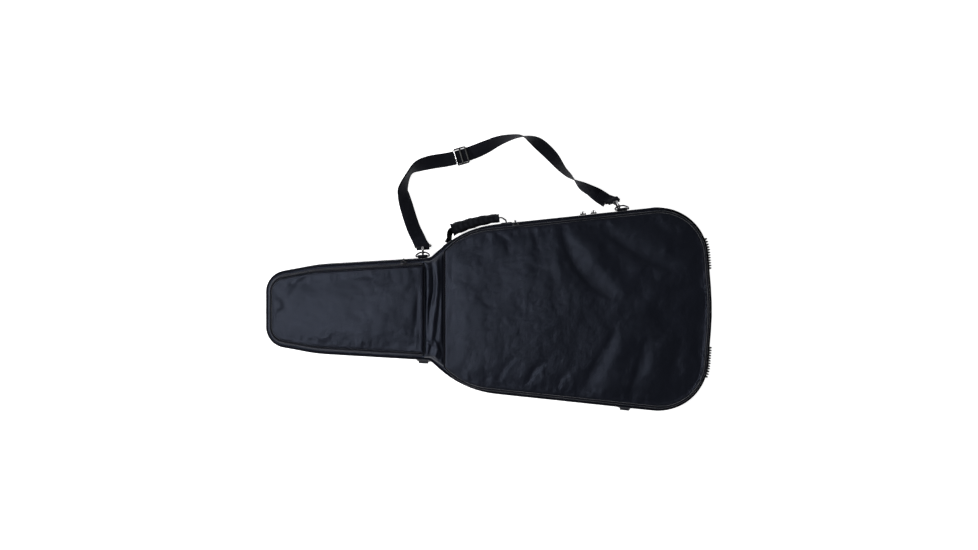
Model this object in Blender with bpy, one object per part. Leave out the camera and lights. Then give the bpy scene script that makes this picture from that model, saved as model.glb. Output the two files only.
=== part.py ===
"""Soft padded carry case for a telescope: wide body, tapered neck, shoulder strap and side handle.

The case lies on its back. +Z is up, +X runs from the neck to the wide body end, and +Y points to the side
that carries the handle and the strap. The origin is on the underside of the back panel, half way along.
All sizes are in metres.
"""
import math

import bmesh
import bpy
from mathutils import Matrix, Vector

# ---- Driving dimensions ---------------------------------------------------------------------------
# Outline of the case at the zip line, where it is widest (half widths are from the centre line)
CASE_LENGTH = 1.000
NECK_ROOT_X = -0.1325   # where the neck meets the body; the places of the hardware are read from the same origin
NECK_LENGTH = 0.3675
NECK_TAPER = 0.115
NECK_END_HALF = 0.0794
NECK_MID_HALF = 0.1005
NECK_ROOT_HALF = 0.1153
SHOULDER_LENGTH = 0.0755
SHOULDER_HALF = 0.183
BODY_END_HALF = 0.240
BODY_END_BOW = 0.0197
NECK_END_RADIUS = 0.048
NECK_SIDE_RADIUS = 0.300
NECK_ROOT_RADIUS = 0.020
SHOULDER_RADIUS = 0.225
POCKET_SHOULDER_RADIUS = 0.160
BODY_CORNER_RADIUS = 0.113
END_BOW_RADIUS = 0.600

# Layers, from the floor up
PANEL = 0.0020          # outer nylon with its coating
FOAM = 0.0070
LINING = 0.0010
ZIP_HEIGHT = 0.055      # height of the zip line and of the lid's fold
LID_HEIGHT = 0.092      # top of the lid's side wall
POCKET_SEAM = 0.1033    # height where a pocket opens
POCKET_HEIGHT = 0.1125  # top of a pocket's side wall
BACK_INSET = 0.008      # how far the back edge lies inside the zip line
FRONT_INSET = 0.005
PIPING_RADIUS = 0.0022
ZIP_TAPE_WIDTH = 0.0085
ZIP_BEAD_WIDTH = 0.0021
ZIP_BEAD_HEIGHT = 0.0016
GAP = 0.0003            # clearance between pieces that touch

# Fold of the lid on the far side, between two places along the straight body side
FOLD_START = 0.056
FOLD_END = 0.344
FOLD_STAND_OFF = 0.0032

# Pockets and the band between them, on the front
BODY_POCKET_START = -0.097
NECK_POCKET_END = -0.146
BODY_PANEL_INSET = 0.014
NECK_PANEL_INSET = 0.018
POCKET_FOOT_INSET = 0.0085
JOIN_BAND_MARGIN = 0.0025

# Hardware
RING_WIRE = 0.0040
RING_WIDTH = 0.034
RING_DEPTH = 0.0165
TAB_WIDTH = 0.022
TAB_PLY = 0.0014
TAB_LENGTH = 0.020
STRAP_WIDTH = 0.032
STRAP_PLY = 0.0018
HOOK_THICKNESS = 0.0044
BUMPER_LENGTH = 0.070
BUMPER_TOP = 0.043
BUMPER_RIBS = 12
BUMPER_DEPTH = 0.0046
HANDLE_WEB_WIDTH = 0.022
HANDLE_WEB_PLY = 0.0024
SLIDER_LENGTH = 0.014
PULL_WIDTH = 0.005
PULL_LENGTH = 0.030
POCKET_PULL_LENGTH = 0.014
POCKET_PULL_TILT = 48

ARC_STEP = math.radians(14)
SMALL_ARC_STEP = math.radians(30)

for leftover in list(bpy.data.objects):
    bpy.data.objects.remove(leftover, do_unlink=True)


# ---- Plane geometry -------------------------------------------------------------------------------
def turn_at(before, corner, after):
    """Signed turn in radians at a corner of an outline."""
    first, second = corner - before, after - corner
    return math.atan2(first.x * second.y - first.y * second.x, first.dot(second))


def inward(first, second):
    """Unit normal to the left of an edge, which points into an outline that runs anticlockwise."""
    edge = (second - first).normalized()
    return Vector((-edge.y, edge.x))


def inset_outline(corners, inset, arc_step=ARC_STEP):
    """Rounded closed outline, moved inwards. Corners are (x, y, radius); inset is one value or one per edge.

    A corner whose edges are in line stays a single point. Every inset gives the same number of points.
    """
    points = [Vector(corner[:2]) for corner in corners]
    count = len(points)
    insets = inset if isinstance(inset, (list, tuple)) else [inset] * count
    moved, turns, tangents = [], [], []
    for i, corner in enumerate(points):
        before, after = points[i - 1], points[(i + 1) % count]
        turn = turn_at(before, corner, after)
        n0, n1 = inward(before, corner), inward(corner, after)
        d0, d1 = insets[i - 1], insets[i]
        if abs(turn) < 1e-4:
            moved.append(corner + n1 * d1)
            tangents.append(0.0)
        else:
            cross = n0.x * n1.y - n0.y * n1.x
            moved.append(corner + Vector(((d0 * n1.y - d1 * n0.y) / cross, (d1 * n0.x - d0 * n1.x) / cross)))
            radius = max(0.001, corners[i][2] - math.copysign(0.5 * (d0 + d1), turn))
            tangents.append(radius * math.tan(abs(turn) / 2))
        turns.append(turn)
    fitted = []
    for i in range(count):
        before = (moved[i] - moved[i - 1]).length
        after = (moved[(i + 1) % count] - moved[i]).length
        share = min(1.0, 0.98 * before / max(1e-9, tangents[i] + tangents[i - 1]),
                    0.98 * after / max(1e-9, tangents[i] + tangents[(i + 1) % count]))
        fitted.append(tangents[i] * share)
    outline = []
    for i, corner in enumerate(moved):
        if fitted[i] == 0.0:
            outline.append(corner)
            continue
        start = corner + (moved[i - 1] - corner).normalized() * fitted[i]
        radius = fitted[i] / math.tan(abs(turns[i]) / 2)
        toward = (corner - start).normalized()
        side = math.copysign(1.0, turns[i])
        centre = start + Vector((-toward.y, toward.x)) * radius * side
        steps = max(1, math.ceil(abs(turns[i]) / arc_step))
        for step in range(steps + 1):
            spin = Matrix.Rotation(turns[i] * step / steps, 2)
            outline.append(centre + spin @ (start - centre))
    return outline


NECK_END_X = NECK_ROOT_X - NECK_LENGTH
BODY_END_X = NECK_END_X + CASE_LENGTH
SHOULDER_X = NECK_ROOT_X + SHOULDER_LENGTH
BODY_CORNER_X = BODY_END_X + 0.0017 - BODY_END_BOW


def body_side(x):
    """Half width of the sharp-cornered body outline at x."""
    share = (x - SHOULDER_X) / (BODY_CORNER_X - SHOULDER_X)
    return SHOULDER_HALF + share * (BODY_END_HALF - SHOULDER_HALF)


def neck_side(x):
    """Half width of the neck's long side at x, between its middle and its root."""
    share = (x - NECK_END_X - NECK_TAPER) / (NECK_LENGTH - NECK_TAPER)
    return NECK_MID_HALF + share * (NECK_ROOT_HALF - NECK_MID_HALF)


def shoulder_side(x):
    """Half width of the slanted shoulder at x."""
    return NECK_ROOT_HALF + (x - NECK_ROOT_X) / SHOULDER_LENGTH * (SHOULDER_HALF - NECK_ROOT_HALF)


def mirrored(corners):
    """The same corners on the other side of the centre line, in the opposite order."""
    return [(x, -y, radius) for x, y, radius in reversed(corners)]


BODY_CORNERS = [(BODY_CORNER_X, BODY_END_HALF, BODY_CORNER_RADIUS),
                (SHOULDER_X, SHOULDER_HALF, SHOULDER_RADIUS)]
NECK_CORNERS = [(NECK_END_X + NECK_TAPER, NECK_MID_HALF, NECK_SIDE_RADIUS),
                (NECK_END_X, NECK_END_HALF, NECK_END_RADIUS)]
BOW = (BODY_END_X + 0.0017, 0.0, END_BOW_RADIUS)
NEAR_SIDE = BODY_CORNERS + [(NECK_ROOT_X, NECK_ROOT_HALF, NECK_ROOT_RADIUS)] + NECK_CORNERS
CASE = ([(FOLD_END, -body_side(FOLD_END), 0.0)] + mirrored(BODY_CORNERS)[1:] + [BOW] + NEAR_SIDE
        + mirrored(NEAR_SIDE)[:4] + [(FOLD_START, -body_side(FOLD_START), 0.0)])

POCKET_NEAR = [BODY_CORNERS[0], (SHOULDER_X, SHOULDER_HALF, POCKET_SHOULDER_RADIUS),
               (BODY_POCKET_START, shoulder_side(BODY_POCKET_START), 0.012)]
BODY_POCKET = [BOW] + POCKET_NEAR + mirrored(POCKET_NEAR)
NECK_NEAR = [(NECK_POCKET_END, neck_side(NECK_POCKET_END), 0.012)] + NECK_CORNERS
NECK_POCKET = NECK_NEAR + mirrored(NECK_NEAR)


def case_outline(inset):
    return inset_outline(CASE, inset)


def pocket_outline(corners, side_inset, end_inset, end_edge):
    """Outline of a pocket: its edge towards the band between the pockets has an inset of its own."""
    insets = [side_inset] * len(corners)
    insets[end_edge] = end_inset
    return inset_outline(corners, insets)


def wall_inset(z):
    """How far the bulging side wall lies inside the zip line at height z."""
    if z < ZIP_HEIGHT:
        return BACK_INSET * (1 - z / ZIP_HEIGHT) ** 2
    return FRONT_INSET * ((z - ZIP_HEIGHT) / (LID_HEIGHT - ZIP_HEIGHT)) ** 2


# ---- Solids ---------------------------------------------------------------------------------------
def finish(name, vertices, faces, material, place=None, smooth=False):
    """Make a closed mesh object with its faces turned outwards."""
    mesh = bpy.data.meshes.new(name)
    mesh.from_pydata([tuple(v) for v in vertices], [], faces)
    work = bmesh.new()
    work.from_mesh(mesh)
    if place is not None:
        bmesh.ops.transform(work, matrix=place, verts=work.verts)
    bmesh.ops.recalc_face_normals(work, faces=work.faces)
    work.to_mesh(mesh)
    work.free()
    mesh.materials.append(material)
    if smooth:
        mesh.shade_smooth()
        mesh.set_sharp_from_angle(angle=math.radians(40))
    thing = bpy.data.objects.new(name, mesh)
    bpy.context.collection.objects.link(thing)
    return thing


def set_pivot(thing, pivot):
    """Move an object's origin to a joint's axis without moving its mesh in space."""
    thing.data.transform(Matrix.Translation(-Vector(pivot)))
    thing.location = pivot


def quads(first, second, count, closed=True):
    """Faces between two rows of points that start at the indices first and second."""
    last = count if closed else count - 1
    return [(first + i, first + (i + 1) % count, second + (i + 1) % count, second + i) for i in range(last)]


def loft(name, rows, material, place=None, smooth=False):
    """Solid through a stack of outlines of equal length, closed by a cap at each end."""
    count = len(rows[0])
    faces = [tuple(range(count)), tuple(range(count * (len(rows) - 1), count * len(rows)))]
    for i in range(len(rows) - 1):
        faces += quads(i * count, (i + 1) * count, count)
    return finish(name, [p for row in rows for p in row], faces, material, place, smooth)


def hoop(name, rows, material, place=None, smooth=False):
    """Closed ring through a cycle of outlines: its cross-section has one corner for each row."""
    count = len(rows[0])
    faces = []
    for i in range(len(rows)):
        faces += quads(i * count, (i + 1) % len(rows) * count, count)
    return finish(name, [p for row in rows for p in row], faces, material, place, smooth)


def band(name, rows, material, smooth=False):
    """Open strip: the same as a hoop, but each row is an open line and the ends are capped."""
    count = len(rows[0])
    faces = [tuple(i * count for i in range(len(rows))), tuple((i + 1) * count - 1 for i in range(len(rows)))]
    for i in range(len(rows)):
        faces += quads(i * count, (i + 1) % len(rows) * count, count, closed=False)
    return finish(name, [p for row in rows for p in row], faces, material, None, smooth)


def level(outline, z):
    return [(p.x, p.y, z) for p in outline]


def plate(name, outline, low, high, material):
    return loft(name, [level(outline, low), level(outline, high)], material)


def three_levels(low, high):
    """Heights at which the inner layers follow the bulge of the wall."""
    return [low, 0.5 * (low + high), high]


def tray(name, inset, wall, floor_low, floor_high, rim, material):
    """Lining of one half: a floor with walls that follow the side wall to the rim."""
    steps = three_levels(floor_low, rim)
    rows = [level(case_outline(wall_inset(z) + inset), z) for z in steps]
    steps = [rim, steps[1], floor_high]
    rows += [level(case_outline(wall_inset(z) + inset + wall), z) for z in steps]
    return loft(name, rows, material)


def wall_hoop(name, outer, thickness, heights, material):
    """Side wall that follows the bulge: outer is its depth behind the case's outside."""
    rows = [level(case_outline(wall_inset(z) + outer), z) for z in heights]
    rows += [level(case_outline(wall_inset(z) + outer + thickness), z) for z in reversed(heights)]
    return hoop(name, rows, material)


def piping(name, outline_at, inset, z, material):
    """Cord sewn in a seam: inset is that of its centre line."""
    rows = []
    for i in range(6):
        angle = math.radians(60 * i)
        height = z + PIPING_RADIUS * math.sin(angle)
        rows.append(level(outline_at(inset + PIPING_RADIUS * math.cos(angle)), height))
    return hoop(name, rows, material, smooth=True)


def prism(name, profile, width, material, place, smooth=False):
    """Flat profile of (outward, up) points, extruded along the wall and centred on it."""
    rows = [[(along, out, up) for out, up in profile] for along in (-width / 2, width / 2)]
    return loft(name, rows, material, place, smooth)


def box(name, low, high, material, place=None):
    """Block between two opposite corners."""
    rows = [[(low[0], low[1], z), (high[0], low[1], z), (high[0], high[1], z), (low[0], high[1], z)]
            for z in (low[2], high[2])]
    return loft(name, rows, material, place)


def thick_line(points, thickness):
    """Closed outline of a line of (a, b) points that has a thickness."""
    line = [Vector(p) for p in points]
    left, right = [], []
    for i, point in enumerate(line):
        before = (point - line[i - 1]).normalized() if i else None
        after = (line[i + 1] - point).normalized() if i < len(line) - 1 else None
        if before is None or after is None:
            edge = after if before is None else before
            side, stretch = Vector((-edge.y, edge.x)), 1.0
        else:
            side = (Vector((-before.y, before.x)) + Vector((-after.y, after.x))).normalized()
            stretch = 1.0 / max(0.5, side.dot(Vector((-after.y, after.x))))
        left.append(point + side * stretch * thickness / 2)
        right.append(point - side * stretch * thickness / 2)
    return [tuple(p) for p in left + right[::-1]]


def arc(centre, radius, start, end, steps):
    """Points of an arc from start to end, in degrees."""
    angles = [math.radians(start + (end - start) * i / steps) for i in range(steps + 1)]
    return [(centre[0] + radius * math.cos(a), centre[1] + radius * math.sin(a)) for a in angles]


def own(name, colour, roughness=0.9, metallic=0.0):
    """A material for one piece."""
    material = bpy.data.materials.new("mat_" + name)
    material.use_nodes = True
    shader = material.node_tree.nodes["Principled BSDF"]
    shader.inputs["Base Color"].default_value = (*colour, 1.0)
    shader.inputs["Roughness"].default_value = roughness
    shader.inputs["Metallic"].default_value = metallic
    return material


NYLON = (0.022, 0.024, 0.034)
DARK_NYLON = (0.014, 0.015, 0.021)
WEBBING = (0.012, 0.012, 0.016)
FOAM_GREY = (0.18, 0.18, 0.19)
LINING_GREY = (0.05, 0.05, 0.06)
RUBBER = (0.012, 0.012, 0.013)
STEEL = (0.62, 0.62, 0.64)
BLACK_PLASTIC = (0.01, 0.01, 0.011)
BLACK_METAL = (0.03, 0.03, 0.033)


# ---- Base half ------------------------------------------------------------------------------------
back_top = PANEL
tape_low = ZIP_HEIGHT - GAP - ZIP_TAPE_WIDTH
tape_high = ZIP_HEIGHT + GAP + ZIP_TAPE_WIDTH
foam_top = back_top + GAP + FOAM
lining_floor = foam_top + GAP
foam_depth = PANEL + GAP
lining_depth = foam_depth + FOAM + GAP
base_wall_low = back_top + GAP
base_wall_high = tape_low - GAP
wall_foam_low = foam_top + GAP
rim_clearance = 0.002

plate("back_panel", case_outline(BACK_INSET), 0.0, back_top, own("back_panel", DARK_NYLON))
wall_hoop("base_gusset", 0.0, PANEL, [base_wall_low, 0.015, 0.030, base_wall_high], own("base_gusset", NYLON))
plate("back_foam", case_outline(wall_inset(base_wall_low) + foam_depth), base_wall_low, foam_top,
      own("back_foam", FOAM_GREY))
wall_hoop("base_gusset_foam", foam_depth, FOAM, three_levels(wall_foam_low, ZIP_HEIGHT - rim_clearance),
          own("base_gusset_foam", FOAM_GREY))
tray("base_lining", lining_depth, LINING, lining_floor, lining_floor + LINING, ZIP_HEIGHT - rim_clearance,
     own("base_lining", LINING_GREY))
piping("back_piping", case_outline, wall_inset(base_wall_low) - PIPING_RADIUS - GAP, PIPING_RADIUS + GAP,
       own("back_piping", DARK_NYLON, 0.6))


TAPE_FACE = 0.0006      # depth of a tape's outer and inner face behind the zip line
TAPE_BACK = 0.0018


def zip_tape(name, sign):
    """Tape of the main zip with its row of teeth; it stops short of the fold at both ends."""
    near, far = GAP, GAP + ZIP_TAPE_WIDTH
    tooth = near + ZIP_BEAD_WIDTH
    crest = TAPE_FACE - ZIP_BEAD_HEIGHT
    section = [(TAPE_FACE, far), (TAPE_FACE, tooth), (crest, tooth - 0.0003), (crest, near), (TAPE_BACK, near),
               (TAPE_BACK, far)]
    rows = [level(case_outline(inset), ZIP_HEIGHT + sign * offset) for inset, offset in section]
    return band(name, rows, own(name, BLACK_PLASTIC, 0.6))


def fold_web(name, sign):
    """Half of the fabric fold that joins lid and base along the far side."""
    near, far = GAP, GAP + ZIP_TAPE_WIDTH
    rows = []
    for inset, offset in [(TAPE_FACE, near), (TAPE_FACE, far), (TAPE_BACK, far), (TAPE_BACK, near)]:
        outline = case_outline(inset)
        start, end = outline[-1], outline[0]
        along = (end - start).normalized() * GAP
        rows.append(level([start + along, end - along], ZIP_HEIGHT + sign * offset))
    return band(name, rows, own(name, DARK_NYLON))


zip_tape("zip_tape_base", -1)
fold_web("fold_web_base", -1)

# ---- Lid half -------------------------------------------------------------------------------------
lid_wall_low = tape_high + GAP
front_low = LID_HEIGHT + GAP
front_high = front_low + PANEL
front_foam_low = LID_HEIGHT - FOAM
lid_lining_high = front_foam_low - GAP

zip_tape("zip_tape_lid", 1)
fold_web("fold_web_lid", 1)
wall_hoop("lid_gusset", 0.0, PANEL, [lid_wall_low, 0.078, LID_HEIGHT], own("lid_gusset", NYLON))
wall_hoop("lid_gusset_foam", foam_depth, FOAM, three_levels(ZIP_HEIGHT + rim_clearance, lid_lining_high),
          own("lid_gusset_foam", FOAM_GREY))
tray("lid_lining", lining_depth, LINING, lid_lining_high, lid_lining_high - LINING, ZIP_HEIGHT + rim_clearance,
     own("lid_lining", LINING_GREY))
plate("front_panel", case_outline(FRONT_INSET + GAP), front_low, front_high, own("front_panel", NYLON))
plate("front_foam", case_outline(FRONT_INSET + foam_depth), front_foam_low, LID_HEIGHT,
      own("front_foam", FOAM_GREY))
piping("front_piping", case_outline, FRONT_INSET - PIPING_RADIUS - GAP, front_high - PIPING_RADIUS,
       own("front_piping", DARK_NYLON, 0.6))


def pocket(label, corners, end_edge, panel_inset):
    """A pocket on the front: fixed lower wall, then the flap's wall, panel and piping."""
    foot = front_high + GAP
    slope = (panel_inset - POCKET_FOOT_INSET) / (POCKET_HEIGHT - foot)

    def side(z):
        return POCKET_FOOT_INSET + (z - foot) * slope

    def outline(z, depth=0.0):
        return level(pocket_outline(corners, side(z) + depth, depth, end_edge), z)

    def wall(name, low, high):
        rows = [outline(low), outline(high), outline(high, PANEL), outline(low, PANEL)]
        return hoop(name, rows, own(name, NYLON))

    wall(label + "_pocket_gusset", foot, POCKET_SEAM)
    wall(label + "_pocket_rim", POCKET_SEAM + 2 * GAP, POCKET_HEIGHT)
    panel_low = POCKET_HEIGHT + GAP
    panel = pocket_outline(corners, panel_inset, 0.0, end_edge)
    crown = pocket_outline(corners, panel_inset + 0.012, 0.012, end_edge)
    rows = [level(panel, panel_low), level(panel, panel_low + PANEL), level(crown, panel_low + PANEL + 0.0015)]
    loft(label + "_pocket_panel", rows, own(label + "_pocket_panel", NYLON))

    def seam(inset):
        return pocket_outline(corners, inset, inset - panel_inset, end_edge)

    piping(label + "_pocket_piping", seam, panel_inset - PIPING_RADIUS - GAP, panel_low + PANEL / 2,
           own(label + "_pocket_piping", DARK_NYLON, 0.6))


pocket("body", BODY_POCKET, 3, BODY_PANEL_INSET)
pocket("neck", NECK_POCKET, 5, NECK_PANEL_INSET)

band_low = front_high + GAP
band_start = NECK_POCKET_END + 2 * PIPING_RADIUS + JOIN_BAND_MARGIN
band_end = BODY_POCKET_START - 2 * PIPING_RADIUS - JOIN_BAND_MARGIN
band_near = [(band_end, shoulder_side(band_end), 0.003), (NECK_ROOT_X, NECK_ROOT_HALF, 0.010),
             (band_start, neck_side(band_start), 0.003)]
JOIN_BAND = band_near + mirrored(band_near)
band_rows = []
for side_in, end_in, height in ((0.010, 0.0, band_low), (0.013, 0.001, band_low + 0.009),
                                (0.018, 0.008, band_low + 0.0125)):
    insets = [side_in, side_in, end_in, side_in, side_in, end_in]
    band_rows.append(level(inset_outline(JOIN_BAND, insets), height))
loft("neck_join_band", band_rows, own("neck_join_band", DARK_NYLON))


# ---- Places on the side wall ----------------------------------------------------------------------
def outline_frame(outline, x, side, height, out):
    """Frame beside an outline at x, on its +Y (1) or -Y (-1) side: along the wall, outwards and up."""
    for i, first in enumerate(outline):
        second = outline[(i + 1) % len(outline)]
        same_side = first.y * side > 0 and second.y * side > 0
        if same_side and first.x != second.x and (first.x - x) * (second.x - x) <= 0:
            normal = -inward(first, second)
            spot = first.lerp(second, (x - first.x) / (second.x - first.x)) + normal * out
            return Matrix(((normal.y, normal.x, 0.0, spot.x), (-normal.x, normal.y, 0.0, spot.y),
                           (0.0, 0.0, 1.0, height), (0.0, 0.0, 0.0, 1.0)))
    raise ValueError("the outline does not reach that place")


def on_wall(x, side, height, out=0.0):
    """Frame at a place on the case's side wall, measured from the zip line."""
    return outline_frame(case_outline(0.0), x, side, height, out)


# ---- Ring tabs, rings, hooks ----------------------------------------------------------------------
ring_radius = RING_WIRE / 2
loop_radius = ring_radius + GAP + TAB_PLY / 2
bar_out = 0.0012 + TAB_PLY / 2 + loop_radius
RING_SECTION = [(-0.5, 0.0), (-0.25, 0.433), (0.25, 0.433), (0.5, 0.0), (0.25, -0.433), (-0.25, -0.433)]
RING_CORNER_RADIUS = 0.007
RING_SHARE = 0.45       # share of the width that is flat at the ring's round side


def ring_tab(name, x, side, height, sewn):
    """Folded webbing tab with a loop for a ring's bar; sewn is 1 above the loop and -1 below it."""
    place = on_wall(x, side, height, bar_out)
    inner = -loop_radius
    outer = inner + TAB_PLY + 0.0005
    line = [(inner, TAB_LENGTH), (inner, 0.0)] + arc((0.0, 0.0), loop_radius, 180, 360, 8)[1:]
    line += [(loop_radius * 0.9, 0.0035), (outer, 0.0100), (outer, TAB_LENGTH)]
    profile = [(out, up * sewn) for out, up in thick_line(line, TAB_PLY)]
    prism(name, profile, TAB_WIDTH, own(name, WEBBING), place)
    return place


def d_ring(name, bar, drop):
    """D-ring round its straight bar; drop is how many degrees below outwards it hangs."""
    half = RING_WIDTH / 2
    low, far = RING_DEPTH * RING_SHARE, RING_DEPTH + ring_radius
    near = [(half, -ring_radius, 0.003), (half, low, 0.008), (half * RING_SHARE, far, RING_CORNER_RADIUS)]
    corners = near + [(-x, y, radius) for x, y, radius in reversed(near)]
    rows = []
    for depth, lift in RING_SECTION:
        outline = inset_outline(corners, (0.5 + depth) * RING_WIRE, SMALL_ARC_STEP)
        rows.append([(p.x, p.y, lift * RING_WIRE) for p in outline])
    place = bar @ Matrix.Rotation(math.radians(-drop), 4, "X")
    thing = hoop(name, rows, own(name, STEEL, 0.3, 1.0), place, smooth=True)
    set_pivot(thing, bar.translation)
    return place


def weld(target, *others):
    """Union the other solids into the target."""
    for other in others:
        other.hide_render = True
        other.display_type = "WIRE"
        modifier = target.modifiers.new("union_" + other.name, "BOOLEAN")
        modifier.operation = "UNION"
        modifier.solver = "EXACT"
        modifier.object = other


HOOK_HOLE = 0.0042
HOOK_SHANK = 0.0200
hook_bend = HOOK_HOLE + HOOK_THICKNESS / 2
hook_slack = HOOK_HOLE - ring_radius - 3 * GAP
EYE_WIRE = 0.0030
EYE_DEPTH = 0.0105
GATE_PIVOT = (hook_bend - 0.0003, 0.0026)


def hook_set(label, ring, twist):
    """Snap hook hanging in a ring, with its gate and its strap eye; twist turns it in the ring's plane."""
    tilt = math.radians(twist)
    away = Vector((math.sin(tilt), math.cos(tilt)))
    half_turn = 0.5 * math.atan2(RING_DEPTH * (1 - RING_SHARE) + ring_radius, RING_WIDTH / 2 * (1 - RING_SHARE))
    seat = Vector((0.0, RING_DEPTH))
    if twist:
        side = math.copysign(1.0, twist)
        centre = Vector((side * (RING_WIDTH / 2 * RING_SHARE - RING_CORNER_RADIUS * math.tan(half_turn)),
                         RING_DEPTH + ring_radius - RING_CORNER_RADIUS))
        seat = centre + away * (RING_CORNER_RADIUS - ring_radius)
    seat += away * hook_slack
    place = ring @ Matrix(((-away.y, 0.0, away.x, seat.x), (away.x, 0.0, away.y, seat.y),
                           (0.0, 1.0, 0.0, 0.0), (0.0, 0.0, 0.0, 1.0)))
    metal = own("hook_" + label, BLACK_METAL, 0.4, 1.0)
    line = arc((0.0, 0.0), hook_bend, -25, -270, 14) + [(hook_bend, hook_bend)]
    hook = prism("hook_" + label, thick_line(line, HOOK_THICKNESS), HOOK_THICKNESS, metal, place)
    stem_half = HOOK_THICKNESS / 2
    stem = [(-stem_half, hook_bend), (stem_half, hook_bend), (stem_half, HOOK_SHANK), (-stem_half, HOOK_SHANK)]
    weld(hook, prism("hook_stem_" + label, stem, HOOK_THICKNESS, metal, place))

    out, down = GATE_PIVOT
    latch = [(out - 0.0011, down + 0.0006), (out + 0.0011, down + 0.0006), (out + 0.0011, -0.0012),
             (out - 0.0011, -0.0012)]
    gate = prism("hook_gate_" + label, latch, HOOK_THICKNESS, own("hook_gate_" + label, STEEL, 0.35, 1.0), place)
    set_pivot(gate, place @ Vector((0.0, out, down)))

    half, near = STRAP_WIDTH / 2 + 0.001 + EYE_WIRE, HOOK_SHANK + GAP
    eye = [(-half, near, 0.003), (half, near, 0.003), (half, near + EYE_DEPTH, 0.003),
           (-half, near + EYE_DEPTH, 0.003)]
    rows = []
    for inset, lift in ((0.0, -0.5), (0.0, 0.5), (EYE_WIRE, 0.5), (EYE_WIRE, -0.5)):
        rows.append([(p.x, lift * EYE_WIRE, p.y) for p in inset_outline(eye, inset, SMALL_ARC_STEP)])
    hoop("strap_eye_" + label, rows, own("strap_eye_" + label, BLACK_METAL, 0.4, 1.0), place)


STRAP_TAB_HEIGHT = 0.0475
FAR_TAB_HEIGHT = 0.0205
FAR_DROOP = 75
DROOP = 56
RING_TABS = (("neck_strap", -0.151, 1, STRAP_TAB_HEIGHT, -1, DROOP),
             ("body_strap", 0.304, 1, STRAP_TAB_HEIGHT, -1, DROOP),
             ("neck_far", -0.150, -1, FAR_TAB_HEIGHT, 1, FAR_DROOP),
             ("body_far", 0.313, -1, FAR_TAB_HEIGHT, 1, FAR_DROOP))
rings = {}
for label, x, side, height, sewn, drop in RING_TABS:
    bar = ring_tab("ring_tab_" + label, x, side, height, sewn)
    rings[label] = d_ring("ring_" + label, bar, drop)
hook_set("neck", rings["neck_strap"], 0.0)
hook_set("body", rings["body_strap"], -22.0)


# ---- Shoulder strap -------------------------------------------------------------------------------
# Route on the floor: x, y and the lean of the webbing in degrees (90 stands on its edge)
NECK_ROUTE = [(-0.1560, 0.1440, 0), (-0.1640, 0.1620, 8), (-0.1764, 0.1888, 15), (-0.1902, 0.2323, 18),
              (-0.1970, 0.2598, 37), (-0.1982, 0.2781, 55), (-0.1833, 0.3125, 78), (-0.1627, 0.3285, 45),
              (-0.1352, 0.3377, 18), (-0.1008, 0.3437, 0), (-0.0800, 0.3479, 0)]
BODY_ROUTE = [(-0.0480, 0.3575, 0), (-0.0280, 0.3645, 14), (-0.0040, 0.3745, 32), (0.0206, 0.3858, 50),
              (0.0481, 0.3938, 70), (0.0733, 0.3972, 90), (0.0939, 0.3915, 125), (0.1168, 0.3792, 158),
              (0.1443, 0.3537, 158), (0.1695, 0.3216, 122), (0.1902, 0.3022, 100), (0.2131, 0.2838, 72),
              (0.2360, 0.2712, 43), (0.2590, 0.2575, 10), (0.2740, 0.2480, 0)]
STRAP_STEP = 0.004


def smooth_route(points, step):
    """Points a step apart along a Catmull-Rom curve through a hand-picked route."""
    route = [Vector(p) for p in points]
    padded = [2 * route[0] - route[1]] + route + [2 * route[-1] - route[-2]]
    result = []
    for i in range(1, len(padded) - 2):
        a, b, c, d = padded[i - 1:i + 3]
        pieces = max(1, round((c.xy - b.xy).length / step))
        for k in range(pieces):
            t = k / pieces
            result.append(0.5 * (2 * b + (c - a) * t + (2 * a - 5 * b + 4 * c - d) * t * t
                                 + (3 * b - a - 3 * c + d) * t ** 3))
    return result + [route[-1]]


def strap(name, points, thickness):
    """Flat webbing that lies on the floor along its route, leaning on one edge where it twists."""
    stations = smooth_route(points, STRAP_STEP)
    rows = []
    for i, station in enumerate(stations):
        heading = (stations[min(i + 1, len(stations) - 1)].xy - stations[max(i - 1, 0)].xy).normalized()
        lean = math.radians(station.z)
        across = Vector((-heading.y * math.cos(lean), heading.x * math.cos(lean), math.sin(lean)))
        normal = Vector((heading.y * math.sin(lean), -heading.x * math.sin(lean), math.cos(lean)))
        height = STRAP_WIDTH / 2 * abs(math.sin(lean)) + thickness / 2 * abs(math.cos(lean))
        middle = Vector((station.x, station.y, height + GAP))
        rows.append([middle + across * (a * STRAP_WIDTH / 2) + normal * (b * thickness / 2)
                     for a, b in ((-1, -1), (1, -1), (1, 1), (-1, 1))])
    loft(name, rows, own(name, WEBBING))


strap("strap_loop", NECK_ROUTE, 2 * STRAP_PLY)
strap("strap_main", BODY_ROUTE, STRAP_PLY)

ADJUSTER = Vector((-0.0640, 0.3525))
ADJUSTER_ANGLE = math.radians(16.5)
ADJUSTER_LENGTH = 0.030
ADJUSTER_RAIL = 0.0030
adjuster_half = STRAP_WIDTH / 2 + 0.0010 + ADJUSTER_RAIL
adjuster_place = Matrix.Translation((*ADJUSTER, 0.0)) @ Matrix.Rotation(ADJUSTER_ANGLE, 4, "Z")


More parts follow.
